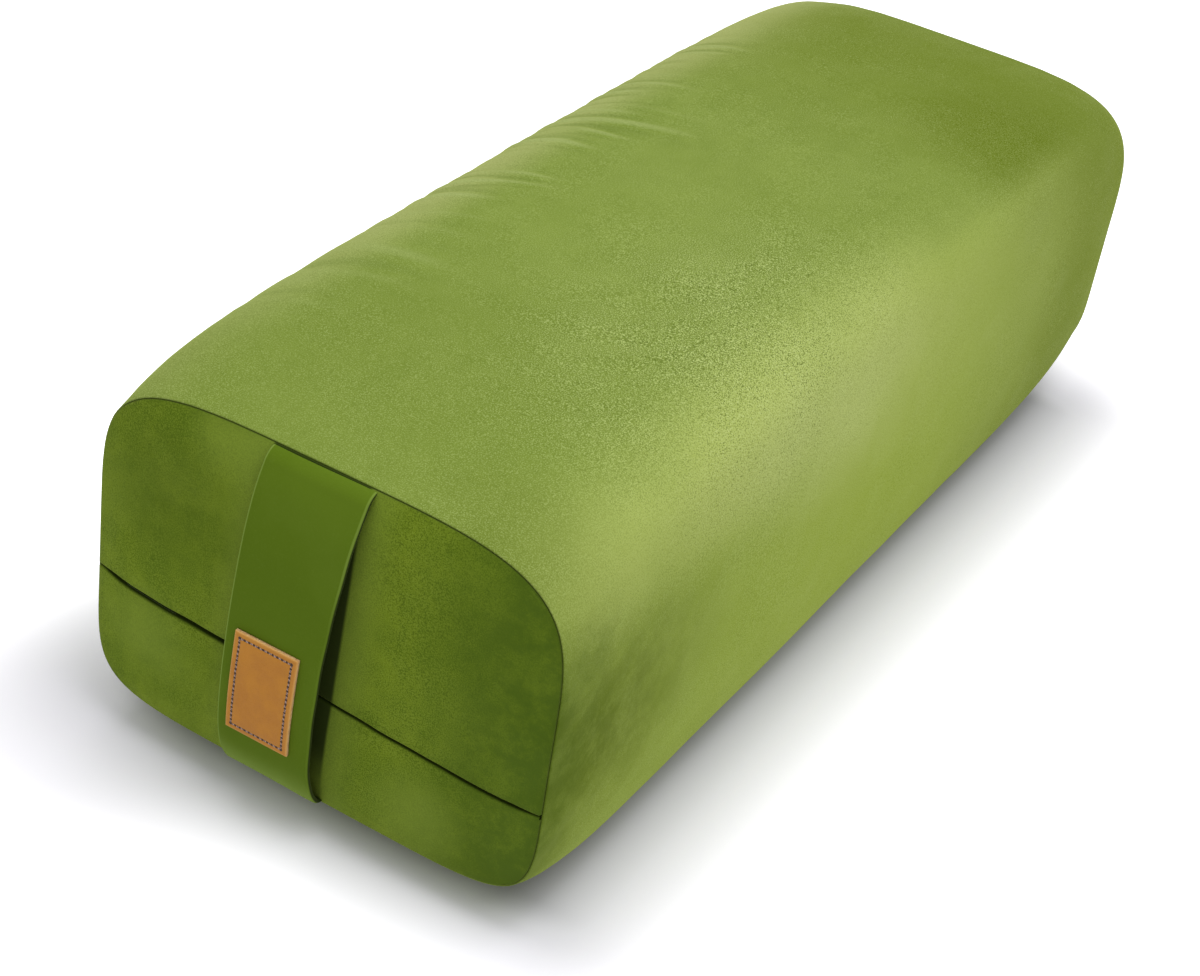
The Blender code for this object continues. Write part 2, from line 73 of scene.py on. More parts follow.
# Strap, label and zip line, as in the CAD part, except that the strap's foot rises more slowly
STRAP_WIDTH = 0.051
STRAP_THICKNESS = 0.0026
STRAP_STAND_OFF = 0.0124
STRAP_CENTRE = -0.0105
STRAP_TOP_EXPONENT = 4.0
STRAP_BOTTOM_EXPONENT = 8.0
LABEL_WIDTH = 0.034
LABEL_HEIGHT = 0.056
LABEL_THICKNESS = 0.0018
LABEL_CENTRE_HEIGHT = 0.085
LABEL_ACROSS = -0.002
ZIP_HEIGHT = 0.0843
ZIP_SLANT = math.radians(3.2)

# Cloth grid for the simulation: faces across the top, up each side above and below the zip, along
TOP_STEPS = 34
UPPER_STEPS = 17
LOWER_STEPS = 9
ALONG_STEPS = 100

# Camera, at the photograph's angle: radians, metres, and millimetres for the sensor and lens
AZIMUTH, ELEVATION, ROLL = 0.4578, 0.5832, 0.1633
TARGET, DISTANCE = Vector((0.0068, -0.0843, 0.0729)), 1.2394
SENSOR_WIDTH, LENS = 36.0, 71.76

WHITE = (1.0, 1.0, 1.0)


# Form


def fullness(y):
    return 1.0 - np.abs(2.0 * y / LENGTH) ** SWELL_EXPONENT


def top_height(y):
    long_arch = 1.0 - (2.0 * y / LENGTH) ** 2
    return END_LIFT + END_HEIGHT + CROWN * fullness(y) + LONG_CROWN * long_arch


def bottom_height(y):
    return END_LIFT * (1.0 - fullness(y)) - FLAT_CUT


def middle_and_half(y):
    """The section's middle height and half its height."""
    top, bottom = top_height(y), bottom_height(y)
    return (top + bottom) / 2.0, (top - bottom) / 2.0


def half_width_at(y):
    return WIDTH / 2.0 - END_DRAW_IN * (1.0 - fullness(y))


def section(y, angle):
    """Points of the rounded section at y, for an array of angles."""
    across, up = np.cos(angle), np.sin(angle)
    upper = TOP_EDGE_EXPONENT + (TOP_MIDDLE_EXPONENT - TOP_EDGE_EXPONENT) * fullness(y)
    power = 2.0 / np.where(up >= 0.0, upper, BOTTOM_EXPONENT)
    middle, half_height = middle_and_half(y)
    x = half_width_at(y) * np.sign(across) * np.abs(across) ** power
    z = middle + half_height * np.sign(up) * np.abs(up) ** power
    return np.stack([x, np.full_like(x, y), np.maximum(z, 0.0)], axis=-1)


def panel_share(x, z):
    """0 in the middle of an end panel and 1 at its seam."""
    middle, half_height = middle_and_half(SEAM_Y)
    power = np.where(z >= middle, TOP_EDGE_EXPONENT, BOTTOM_EXPONENT)
    across = np.abs(x / half_width_at(SEAM_Y)) ** power
    reach = across + np.abs((z - middle) / half_height) ** power
    return np.minimum(reach ** (1.0 / power), 1.0)


def bulge(share):
    return PANEL_BULGE * (1.0 - share**PANEL_EXPONENT)


def slit_height(x):
    """Height of the zip line on the near panel, which falls to the right."""
    return ZIP_HEIGHT - x * math.tan(ZIP_SLANT)


# Camera


def added(name, data):
    """A new object in the scene."""
    thing = bpy.data.objects.new(name, data)
    bpy.context.scene.collection.objects.link(thing)
    return thing


def make_camera():
    level = math.cos(ELEVATION)
    back = Vector((math.sin(AZIMUTH) * level, -math.cos(AZIMUTH) * level, math.sin(ELEVATION)))
    right = Vector((math.cos(AZIMUTH), math.sin(AZIMUTH), 0.0))
    up = back.cross(right)
    turned_right = right * math.cos(ROLL) + up * math.sin(ROLL)
    turned_up = up * math.cos(ROLL) - right * math.sin(ROLL)
    data = bpy.data.cameras.new("camera")
    data.sensor_width, data.lens = SENSOR_WIDTH, LENS
    data.clip_start, data.clip_end = 0.05, 20.0
    camera = added("camera", data)
    turn = Matrix((turned_right, turned_up, back)).transposed().to_4x4()
    camera.matrix_world = Matrix.Translation(TARGET + back * DISTANCE) @ turn
    bpy.context.scene.camera = camera


make_camera()


# Material building


class Nodes:
    """The node tree of a material or world, with short calls for the nodes that are used here."""

    def __init__(self, owner):
        owner.use_nodes = True
        self.owner = owner
        self.tree = owner.node_tree

    @cached_property
    def coordinates(self):
        return self.add("TexCoord").outputs["Object"]

    def link(self, value, socket):
        if isinstance(value, bpy.types.NodeSocket):
            self.tree.links.new(value, socket)
        elif socket.type == "RGBA":
            socket.default_value = (*value, 1.0)
        else:
            socket.default_value = value

    def add(self, kind, inputs=None, **settings):
        """A new node with its settings, and its inputs by name or number."""
        node = self.tree.nodes.new("ShaderNode" + kind)
        for name, value in settings.items():
            setattr(node, name, value)
        for key, value in (inputs or {}).items():
            self.link(value, node.inputs[key])
        return node

    def scaled(self, scale):
        inputs = {"Vector": self.coordinates, "Scale": scale}
        return self.add("Mapping", inputs).outputs["Vector"]

    def noise(self, scale, detail, rough, vector=None):
        vector = vector or self.coordinates
        inputs = {"Vector": vector, "Scale": scale, "Detail": detail, "Roughness": rough}
        return self.add("TexNoise", inputs).outputs["Fac"]

    def cells(self, scale):
        inputs = {"Vector": self.coordinates, "Scale": scale}
        return self.add("TexVoronoi", inputs).outputs["Distance"]

    def waves(self, scale, direction, distortion):
        inputs = {"Scale": scale, "Distortion": distortion, "Detail": 1.0}
        inputs["Vector"] = self.coordinates
        return self.add("TexWave", inputs, bands_direction=direction).outputs["Fac"]

    def range(self, value, low, high, to_low=0.0, to_high=1.0):
        """A smooth step between two values."""
        names = ("Value", "From Min", "From Max", "To Min", "To Max")
        inputs = dict(zip(names, (value, low, high, to_low, to_high)))
        return self.add("MapRange", inputs, interpolation_type="SMOOTHSTEP").outputs["Result"]

    def math(self, operation, *values):
        return self.add("Math", dict(enumerate(values)), operation=operation).outputs[0]

    def product(self, *values):
        return reduce(lambda made, value: self.math("MULTIPLY", made, value), values)

    def vectors(self, operation, first, second, output=0):
        inputs = {0: first, 1: second}
        return self.add("VectorMath", inputs, operation=operation).outputs[output]

    def away(self, place, scale=(1.0, 1.0, 1.0)):
        """Distance from a place, with one scale for each axis."""
        place = tuple(p * s for p, s in zip(place, scale))
        return self.vectors("DISTANCE", self.scaled(scale), place, "Value")

    def spot(self, place, inner, outer, scale=(1.0, 1.0, 1.0), floor=0.0):
        """1 within the inner distance of a place, and the floor value beyond the outer one."""
        return self.range(self.away(place, scale), inner, outer, 1.0, floor)

    def mask(self, given):
        """A range or a spot from its values, or else what is given."""
        if isinstance(given, tuple):
            return self.spot(*given) if isinstance(given[0], tuple) else self.range(*given)
        return given

    def lay(self, colour, *layers):
        """The colour under layers, each a tint and the masks whose product is its strength."""
        for tint, *masks in layers:
            masks = [self.mask(given) for given in masks]
            # Inputs 6 and 7 and output 2 are the mix node's colours
            inputs = {0: self.product(*masks), 6: colour, 7: tint}
            colour = self.add("Mix", inputs, data_type="RGBA").outputs[2]
        return colour

    def parts(self):
        return self.add("SeparateXYZ", {0: self.coordinates}).outputs

    def attribute(self, name):
        return self.add("Attribute", attribute_name=name).outputs["Fac"]

    def bump(self, height, strength, distance, **under):
        inputs = {"Height": height, "Strength": strength, "Distance": distance, **under}
        return self.add("Bump", inputs).outputs["Normal"]

    def finish(self, colour, rough, normal, **plain):
        """The material. Roughness is a pattern and two values, and _ in a name is a space."""
        shader = self.tree.nodes["Principled BSDF"]
        rough = self.range(rough[0], 0.0, 1.0, *rough[1:])
        inputs = {"Base_Color": colour, "Roughness": rough, "Normal": normal, **plain}
        for name, value in inputs.items():
            self.link(value, shader.inputs[name.replace("_", " ")])
        return self.owner


def material(name):
    return Nodes(bpy.data.materials.new(name))


# Velvet

SEAM_SHADE_COLOUR = (0.03, 0.05, 0.003)
PAINTED_HIGHLIGHT = (0.415, 0.49, 0.128)


def velvet(name, tones, streak_scale, speckle_share, painted_light_over_speckle, painted_light_under_speckle=None):
    """Short-pile velvet: mottled nap, faint streaks along the pile and a fine speckle, partly grain
    and partly painted glints.

    The last three are functions that give the speckle's strength and lay painted light and shade
    over the speckle and under it.
    """
    dark, light, pale = tones
    made = material(name)
    mottling = made.range(made.noise(22.0, 4.0, 0.6), 0.34, 0.66)
    streaks = made.range(made.noise(1.0, 3.0, 0.55, made.scaled(streak_scale)), 0.36, 0.64)
    nap = made.product(made.range(made.noise(85.0, 3.0, 0.7), 0.36, 0.64), 0.28)
    for value, share in ((streaks, 0.26), (mottling, 0.46)):
        nap = made.math("MULTIPLY_ADD", value, share, nap)
    colour = made.lay(dark, (light, nap))
    if painted_light_under_speckle:
        colour = painted_light_under_speckle(made, colour)
    speckle = made.noise(1650.0, 1.0, 0.6)
    strong = speckle_share(made)
    colour = made.lay(
        colour,
        (pale, (speckle, 0.5, 0.66), strong),
        (tuple(0.45 * c for c in dark), (speckle, 0.34, 0.49, 1.0, 0.0), strong),
    )
    # Painted shade in the seams' rolled edges, softly beside them and down into the zip slit
    colour = made.lay(painted_light_over_speckle(made, colour), (SEAM_SHADE_COLOUR, made.attribute("seam")))
    fine = made.bump(made.noise(1500.0, 2.0, 0.6), 0.22, 0.0004)
    return made.finish(
        colour,
        (mottling, 0.86, 0.74),
        made.bump(made.noise(160.0, 3.0, 0.6), 0.1, 0.001, Normal=fine),
        Sheen_Weight=0.22,
        Sheen_Roughness=0.38,
        Sheen_Tint=(0.8, 0.92, 0.16),
        Specular_IOR_Level=0.08,
    )


def highlight_speckle(made):
    """Strongest in a painted highlight over the right half of the top, where the pale flecks are
    painted glints, and faint elsewhere.
    """
    near = made.spot((0.08, -0.12, 0.207), 0.015, 0.11, (1.0, 0.62, 1.0), 0.3)
    return made.product(near, made.range(made.noise(14.0, 3.0, 0.6), 0.3, 0.6, 0.62, 1.0))


def panel_speckle(made):
    """Weaker, in soft patches."""
    return made.product(made.range(made.noise(9.0, 2.0, 0.5), 0.38, 0.62, 0.6, 1.0), 0.56)


def painted_wrap_light(made, colour):
    """Painted light and shade on the wrap: highlights on the right side and shoulders, shade at the
    far end and near left of the top.
    """
    x, y, z = made.parts()
    uneven = made.range(made.noise(12.0, 3.0, 0.6), 0.3, 0.62, 0.72, 1.0)
    above = made.range(z, 0.165, 0.2)
    fold = made.attribute("fold")
    long = (1.0, 0.42, 1.0)
    return made.lay(
        colour,
        # The near left of the top: painted shade
        ((0.146, 0.21, 0.024), ((-0.02, -0.245, 0.21), 0.03, 0.14), 0.45),
        # The right side: painted light
        (
            (0.35, 0.45, 0.05),
            (x, 0.105, 0.124),
            (y, -0.26, -0.02, 0.32, 0.6),
            (y, 0.05, 0.26, 1.0, 0.35),
        ),
        # Painted highlight: the pale band along the right shoulder, and the side below it
        (PAINTED_HIGHLIGHT, ((0.121, -0.12, 0.187), 0.01, 0.072, (1.1, 0.21, 1.4)), uneven),
        (PAINTED_HIGHLIGHT, ((0.125, 0.0, 0.142), 0.012, 0.062, long), uneven, 0.46),
        ((0.5, 0.575, 0.2), ((0.126, -0.075, 0.168), 0.008, 0.06, long), uneven, 0.5),
        # The near right corner: painted highlight on its side and painted shade on top
        (PAINTED_HIGHLIGHT, ((0.119, -0.285, 0.18), 0.006, 0.046), 0.38),
        ((0.15, 0.205, 0.026), ((0.088, -0.316, 0.202), 0.006, 0.066), 0.5),
        # The far end: painted shade, darkest at its corner, with a painted highlight on the side
        # under it
        ((0.132, 0.19, 0.006), (y, 0.06, 0.28, 0.0, 0.78)),
        ((0.116, 0.168, 0.004), ((0.088, 0.192, 0.212), 0.02, 0.088), 0.68),
        (
            (0.37, 0.455, 0.11),
            ((0.122, 0.165, 0.17), 0.015, 0.11, (1.2, 0.6, 0.6)),
            (y, 0.19, 0.26, 0.46, 0.2),
            (z, 0.194, 0.209, 1.0, 0.0),
        ),
        # Painted highlight along the left shoulder, and its far part
        (
            (0.455, 0.48, 0.187),
            (x, -0.106, -0.07, 0.68, 0.0),
            (y, -0.3, -0.05, 0.24, 1.0),
            above,
            uneven,
        ),
        ((0.4, 0.45, 0.15), (x, -0.11, -0.042, 0.42, 0.0), (y, 0.06, 0.22), above),
        # Painted highlight on the ridges of the gathers, and painted shade in their valleys
        ((0.345, 0.415, 0.14), (fold, 0.05, 0.8, 0.0, 0.6)),
        ((0.12, 0.18, 0.022), (fold, -0.5, -0.04, 0.4, 0.0)),
    )


def painted_wrap_shade(made, colour):
    """Painted shade: the right side darker in ragged patches by the near seam."""
    x, y, z = made.parts()
    patches = made.range(made.noise(40.0, 6.0, 0.75), 0.34, 0.62, 0.6, 1.0)
    ragged = made.product(made.noise(26.0, 4.0, 0.65), 0.06)
    lee = ((0.125, -0.306, 0.102), 0.006, 0.086, (1.0, 0.55, 1.0))
    by_seam = (made.math("ADD", y, ragged), -0.288, -0.244, 0.66, 0.0)
    low = (made.math("ADD", z, ragged), 0.165, 0.212, 1.0, 0.0)
    return made.lay(
        colour,
        ((0.086, 0.128, 0.004), lee, patches),
        ((0.06, 0.104, 0.003), by_seam, (x, 0.095, 0.117), low, patches),
    )


def painted_panel_light(made, colour):
    """Painted light and shade on the near panel: darker to the right and in patches, lighter in
    spots and beside the strap, and near black under it.
    """
    x, y, z = made.parts()
    slant = math.tan(ZIP_SLANT)
    middle = made.math("MULTIPLY_ADD", z, slant, STRAP_CENTRE - ZIP_HEIGHT * slant)
    away = made.math("ABSOLUTE", made.math("SUBTRACT", x, middle))
    half = STRAP_WIDTH / 2.0
    near = made.range(y, -0.3, -0.25, 1.0, 0.0)
    uneven = made.range(made.noise(60.0, 6.0, 0.75), 0.36, 0.62, 0.6, 1.0)
    lit = [
        ((0.205, 0.285, 0.036), (place, 0.004, size), near, 0.5)
        for place, size in (
            ((-0.05, -0.326, 0.196), 0.03),
            ((0.062, -0.326, 0.046), 0.034),
            ((-0.09, -0.326, 0.07), 0.034),
        )
    ]
    return made.lay(
        colour,
        ((0.066, 0.116, 0.006), (x, 0.04, 0.11, 0.0, 0.98), near, uneven),
        ((0.08, 0.128, 0.006), ((-0.082, -0.326, 0.15), 0.01, 0.05), near, uneven, 0.62),
        *lit,
        # Beside the strap, painted light against its shadow; under it, painted shade of the gap
        # behind it
        ((0.215, 0.3, 0.04), (away, half, half + 0.022, 0.45, 0.0), near),
        (
            (0.017, 0.029, 0.003),
            (away, half - 0.0015, half + 0.0006, 1.0, 0.0),
            near,
            (z, 0.026, 0.06, 0.25, 1.0),
        ),
    )


WRAP_VELVET = velvet(
    "velvet_wrap",
    ((0.18, 0.252, 0.038), (0.212, 0.288, 0.048), (0.49, 0.575, 0.22)),
    (70.0, 9.0, 70.0),
    highlight_speckle,
    painted_wrap_shade,
    painted_wrap_light,
)
# The end panels' velvet is a darker copy of the wrap's: partly painted shade
SHADED_PANEL_VELVET = velvet(
    "velvet_panel_shaded",
    ((0.098, 0.162, 0.007), (0.178, 0.254, 0.013), (0.22, 0.3, 0.03)),
    (60.0, 60.0, 16.0),
    panel_speckle,
    painted_panel_light,
)


# Other materials


def strap_cloth():
    """Close, flat cloth with a finer pile than the cover's."""
    made = material("strap_velvet")
    wash = made.range(made.noise(16.0, 3.0, 0.55), 0.35, 0.65)
    colour = made.lay(
        (0.09, 0.152, 0.006),
        ((0.103, 0.169, 0.009), wash),
        ((0.15, 0.22, 0.03), (made.noise(1100.0, 2.0, 0.6), 0.5, 0.75), 0.18),
        # Painted highlight on its edges and turned foot, and painted shade, near black, on its back
        # and sides
        ((0.22, 0.32, 0.055), made.attribute("edge_highlight"), 0.75),
        ((0.016, 0.026, 0.004), made.attribute("back_shade")),
    )
    return made.finish(
        colour,
        (wash, 0.84, 0.76),
        made.bump(made.noise(1700.0, 2.0, 0.6), 0.15, 0.0003),
        Sheen_Weight=0.1,
        Sheen_Roughness=0.45,
        Sheen_Tint=(0.72, 0.9, 0.25),
        Specular_IOR_Level=0.06,
    )


def leather():
    """Tan leather with grain, a burnished field and a painted highlight along its border."""
    made = material("tan_leather")
    wash = made.range(made.noise(70.0, 3.0, 0.6), 0.35, 0.65)
    colour = made.lay(
        (0.42, 0.152, 0.013),
        ((0.5, 0.2, 0.022), wash),
        ((0.66, 0.32, 0.06), (made.cells(1500.0), 0.05, 0.4), 0.25),
        ((0.8, 0.47, 0.16), made.attribute("edge_highlight"), 0.8),
    )
    grain = made.bump(made.cells(1300.0), 0.25, 0.0002)
    wrinkles = made.bump(made.noise(260.0, 4.0, 0.65), 0.12, 0.0005, Normal=grain)
    return made.finish(colour, (wash, 0.42, 0.55), wrinkles, Specular_IOR_Level=0.12)


def cut_leather():
    """The raw cut edge: fibrous and pale."""
    made = material("cut_leather_edge")
    fibres = made.range(made.noise(900.0, 3.0, 0.7, made.scaled((1.0, 1.0, 0.3))), 0.3, 0.7)
    colour = made.lay((0.55, 0.27, 0.1), ((0.8, 0.52, 0.25), fibres))
    return made.finish(colour, (fibres, 0.85, 0.7), made.bump(fibres, 0.4, 0.0003))


def thread():
    """Twisted sewing thread."""
    made = material("label_thread")
    twist = made.waves(420.0, "DIAGONAL", 1.0)
    colour = made.lay((0.11, 0.062, 0.048), ((0.43, 0.31, 0.27), twist))
    return made.finish(colour, (twist, 0.7, 0.55), made.bump(twist, 0.5, 0.0001))


def woven(name, dark, light, pitch, roughness):
    """Plain weave: two crossing sets of fine bands."""
    made = material(name)
    weave = made.product(*(made.waves(1.0 / pitch, axis, 0.6) for axis in "XZ"))
    wash = made.range(made.noise(30.0, 3.0, 0.6), 0.3, 0.7)
    colour = made.lay(dark, (light, made.math("ADD", weave, wash), 0.5))
    return made.finish(colour, (wash, roughness, roughness - 0.1), made.bump(weave, 0.3, 0.0002))


def moulded(name, dark, light, roughness, metallic=0.0):
    """Smooth enamelled or plain metal, or nylon, with handling wear in its gloss."""
    made = material(name)
    wash = made.range(made.noise(220.0, 3.0, 0.6), 0.3, 0.7)
    scuffs = made.range(made.noise(900.0, 4.0, 0.7, made.scaled((0.3, 1.0, 1.0))), 0.55, 0.75)
    shade = made.math("MULTIPLY_ADD", wash, 0.5, made.product(scuffs, 0.4))
    rough = (scuffs, roughness, roughness + 0.2)
    colour = made.lay(dark, (light, shade))
    return made.finish(colour, rough, made.bump(scuffs, 0.1, 0.0001), Metallic=metallic)


def hulls():
    """Loose buckwheat hulls: small dark shells with paler edges."""
    made = material("buckwheat_hulls")
    shells = made.range(made.cells(210.0), 0.05, 0.65)
    colour = made.lay((0.035, 0.018, 0.012), ((0.16, 0.085, 0.055), shells))
    return made.finish(colour, (shells, 0.5, 0.75), made.bump(shells, 1.0, 0.002))


# Cloth grid

RING_STEPS = (LOWER_STEPS, UPPER_STEPS, TOP_STEPS, UPPER_STEPS, LOWER_STEPS, TOP_STEPS)
RING_PLACES = tuple(accumulate(RING_STEPS, initial=0))
RIGHT_LOW, RIGHT_SLIT, RIGHT_TOP, LEFT_TOP, LEFT_SLIT, LEFT_LOW, AROUND_STEPS = RING_PLACES


def angle_of_height(y, height, side):
    """The section's angle, on the right (1) or left (-1) side, at which it has this height."""
    angles = np.radians(np.linspace(-60.0, 60.0, 2401))
    heights = section(y, angles)[:, 2]
    found = angles[np.argmin(np.abs(heights - height))]
    return found if side > 0 else math.pi - found


def travelled(points):
    """The distance along a row of points, at each of them."""
    return np.concatenate([[0.0], np.cumsum(np.linalg.norm(np.diff(points, axis=0), axis=1))])


def arc_points(y, start, end, shares):
    """Points at shares of the arc length of the section between two angles."""
    angles = np.linspace(start, end, 721)
    reach = travelled(section(y, angles))
    return section(y, np.interp(np.asarray(shares) * reach[-1], reach, angles))


def ring_angles():
    """The section's angles at the low right corner, the slit's right end, and so on round."""
    half_width = half_width_at(SEAM_Y)
    right, left = (
        angle_of_height(-SEAM_Y, float(slit_height(side * half_width)), side) for side in (1, -1)
    )
    quarter = math.pi / 4.0
    return (-quarter, right, quarter, 3.0 * quarter, left, 5.0 * quarter, 7.0 * quarter)


def coons(bottom, top, left, right):
    """A patch between four rows of points, as an array of rows from bottom to top."""
    u = np.linspace(0.0, 1.0, len(bottom))[None, :, None]
    v = np.linspace(0.0, 1.0, len(left))[:, None, None]
    sides = (1.0 - u) * left[:, None] + u * right[:, None]
    ends = (1.0 - v) * bottom[None] + v * top[None]
    low = (1.0 - u) * (1.0 - v) * bottom[0] + u * (1.0 - v) * bottom[-1]
    return sides + ends - (low + (1.0 - u) * v * top[0] + u * v * top[-1])


def panel_patches(edge, side):
    """The upper and lower half of an end panel, inside one closed row of the cover."""
    closed = np.concatenate([edge, edge[:1]])
    upper_left = closed[LEFT_TOP : LEFT_SLIT + 1][::-1]
    upper_right = closed[RIGHT_SLIT : RIGHT_TOP + 1]
    lower_left = closed[LEFT_SLIT : LEFT_LOW + 1][::-1]
    lower_right = closed[RIGHT_LOW : RIGHT_SLIT + 1]
    top = closed[RIGHT_TOP : LEFT_TOP + 1][::-1]
    shares = np.linspace(0.0, 1.0, TOP_STEPS + 1)[:, None]
    slit = upper_left[0] * (1.0 - shares) + upper_right[0] * shares
    made = (
        coons(slit, top, upper_left, upper_right),
        coons(closed[LEFT_LOW:], slit, lower_left, lower_right),
    )
    for patch in made:
        patch[..., 1] = side * (SEAM_Y + bulge(panel_share(patch[..., 0], patch[..., 2])))
    return made


def cover_grids():
    """The wrap as closed rows from the near seam to the far one, and the halves of both panels."""
    angles = ring_angles()
    spans = [(a, b, np.arange(n) / n) for a, b, n in zip(angles, angles[1:], RING_STEPS)]
    wrap = np.stack(
        [
            np.concatenate([arc_points(y, *span) for span in spans])
            for y in np.linspace(-SEAM_Y, SEAM_Y, ALONG_STEPS + 1)
        ]
    )
    names = ("near_upper", "near_lower", "far_upper", "far_lower")
    halves = (*panel_patches(wrap[0], -1.0), *panel_patches(wrap[-1], 1.0))
    return {"wrap": wrap, **dict(zip(names, halves))}


# Simulation of the stuffed cover

FACES_THAT_FLIP = ("wrap", "far_upper", "far_lower")
CLOTH = {
    "quality": 6,
    "mass": 0.25,
    "tension_stiffness": 20.0,
    "compression_stiffness": 20.0,
    "shear_stiffness": 8.0,
    "bending_stiffness": 0.6,
    "use_pressure": True,
    "uniform_pressure_force": 4.0,
    "vertex_group_mass": "held",
}
FRAMES = 20
SMOOTHING_ROUNDS = 60
MOST_SIDEWAYS = 0.0012
DEEPEST_FOLD, HIGHEST_FOLD = -0.0005, 0.0014


def grid_faces(index, closes=False, flips=False):
    """Four-sided faces between the rows of an index grid, whose last column may join its first."""
    if closes:
        index = np.concatenate([index, index[:, :1]], axis=1)
    corners = (index[:-1, :-1], index[:-1, 1:], index[1:, 1:], index[1:, :-1])
    return np.stack(corners[::-1] if flips else corners, axis=-1).reshape(-1, 4).tolist()


def shared(keys):
    """The first row of each value, and for every row the number of its value."""
    _, first, inverse = np.unique(keys, axis=0, return_index=True, return_inverse=True)
    return first, inverse.reshape(-1)


def welded(grids):
    """All grids as one list of points, one at each place, with an index for each grid."""
    points = np.concatenate([g.reshape(-1, 3) for g in grids.values()])
    first, inverse = shared(np.round(points, 6))
    found = np.split(inverse, np.cumsum([g[..., 0].size for g in grids.values()])[:-1])
    return points[first], {n: i.reshape(g.shape[:2]) for (n, g), i in zip(grids.items(), found)}


def gate(value, low, high):
    """0 below the first limit, 1 above the second, and smooth between them."""
    t = np.clip((value - low) / (high - low), 0.0, 1.0)
    return t * t * (3.0 - 2.0 * t)


def rest_shape(points):
    """The cloth as cut, a little larger than the form along the long edges and at the end seams."""
    x, y, z = points.T
    left_edge = gate(-x, 0.055, 0.115) * gate(z, 0.1, 0.19)
    right_edge = gate(x, 0.075, 0.12) * gate(z, 0.08, 0.17)
    slack = 0.02 * left_edge + 0.008 * right_edge + 0.003
    around = 1.0 + 0.018 * np.exp(-(SEAM_Y - np.abs(y)) / 0.03) + 0.003
    middle = 0.105
    return np.stack([x * around, y * (1.0 + slack), middle + (z - middle) * around], axis=1)


def simulated(points, faces):
    """The stuffed cover after a cloth simulation under pressure, its seams and underside held."""
    mesh = bpy.data.meshes.new("simulation")
    mesh.from_pydata(points.tolist(), [], faces)
    thing = added("simulation", mesh)
    x, y, z = points.T
    seam = np.exp(-(((SEAM_Y - np.abs(y)) / 0.004) ** 2))
    on_panel = np.abs(y) > SEAM_Y + 1e-5
    by_slit = on_panel & (y < 0.0) & (np.abs(z - slit_height(x)) < 0.004)
    under = gate(-z, -0.012, -0.002)
    held = np.where(by_slit, 1.0, np.where(on_panel, 0.25, np.maximum(seam, under)))
    group = thing.vertex_groups.new(name="held")
    for i, weight in enumerate(held):
        if weight > 0.01:
            group.add([i], float(weight), "REPLACE")
    thing.shape_key_add(name="Basis")
    key = thing.shape_key_add(name="cut")
    key.data.foreach_set("co", rest_shape(points).astype(np.float32).ravel())
    key.value = 0.0
    cloth = thing.modifiers.new("cloth", "CLOTH")
    for name, value in CLOTH.items():
        setattr(cloth.settings, name, value)
    cloth.settings.rest_shape_key = key
    cloth.settings.effector_weights.gravity = 0.0
    cloth.collision_settings.use_collision = False
    scene = bpy.context.scene
    scene.frame_start, scene.frame_end = 1, FRAMES
    for number in range(1, FRAMES + 1):
        scene.frame_set(number)
    graph = bpy.context.evaluated_depsgraph_get()
    moved = np.zeros(len(points) * 3, np.float32)
    thing.evaluated_get(graph).data.vertices.foreach_get("co", moved)
    scene.frame_set(1)
    bpy.data.objects.remove(thing, do_unlink=True)
    return moved.reshape(-1, 3).astype(float)


def smoothed(values, faces):
    """Values averaged with their neighbours' on the mesh, many times over."""
    pairs = np.array([(f[k], f[k - 1]) for f in faces for k in range(len(f))])
    start, end = np.concatenate([pairs, pairs[:, ::-1]]).T
    count = np.bincount(start, minlength=len(values))[:, None]
    for _ in range(SMOOTHING_ROUNDS):
        total = [np.bincount(start, values[end, k], len(values)) for k in range(3)]
        values = 0.5 * values + 0.5 * np.stack(total, axis=1) / count
    return values


def point_normals(points, faces):
    """Unit outward normals at the points of a mesh of four-sided faces."""
    corners = np.array(faces)
    across = points[corners[:, 2]] - points[corners[:, 0]]
    normals = np.cross(across, points[corners[:, 3]] - points[corners[:, 1]])
    made = np.zeros_like(points)
    for k in range(4):
        np.add.at(made, corners[:, k], normals)
    made = unit(made)
    outward = (made * (points - points.mean(axis=0))).sum() > 0.0
    return made if outward else -made


def stuffed(grids):
    """The grids with the fine folds of the simulation, which are capped, and without its swell."""
    points, index = welded(grids)
    faces = []
    for name, found in index.items():
        faces += grid_faces(found, name == "wrap", name in FACES_THAT_FLIP)
    step = simulated(points, faces) - points
    folds = step - smoothed(step, faces)
    normals = point_normals(points, faces)
    out = (folds * normals).sum(-1, keepdims=True)
    sideways = folds - normals * out
    reach = np.linalg.norm(sideways, axis=1, keepdims=True)
    sideways *= np.minimum(1.0, MOST_SIDEWAYS / np.maximum(reach, 1e-9))
    by_side = gate(np.abs(points[:, 0]), 0.07, 0.105)
    by_end = gate(np.abs(points[:, 1]), 0.27, 0.31)
    strength = (0.35 + 0.65 * np.maximum(by_side, by_end))[:, None]
    out = np.clip(out * strength, DEEPEST_FOLD, HIGHEST_FOLD)
    moved = points + normals * out + sideways * strength
    return {name: moved[found] for name, found in index.items()}


# Fine surfaces: the simulated grids resampled, with their seams rolled in

SEAM_REACH = 0.0013
SEAM_ROWS = 6
WRAP_SEAM_SHADE = np.array([1.0, 0.9, 0.45, 0.05, 0.0, 0.0])
PANEL_SEAM_SHADE = np.array([1.0, 1.0, 0.8, 0.5, 0.32, 0.24])
LIP_SHADE = np.array([0.1, 0.25, 0.5, 0.8, 1.0, 1.0, 1.0])
SLIT_ROLL = 0.0011
SLIT_DEPTH = 0.0024
SEAM_ALLOWANCE = 0.007
ALLOWANCE_LEAN = 0.0012
PANEL_MIDDLE = np.array([0.0, 0.0, 0.111])


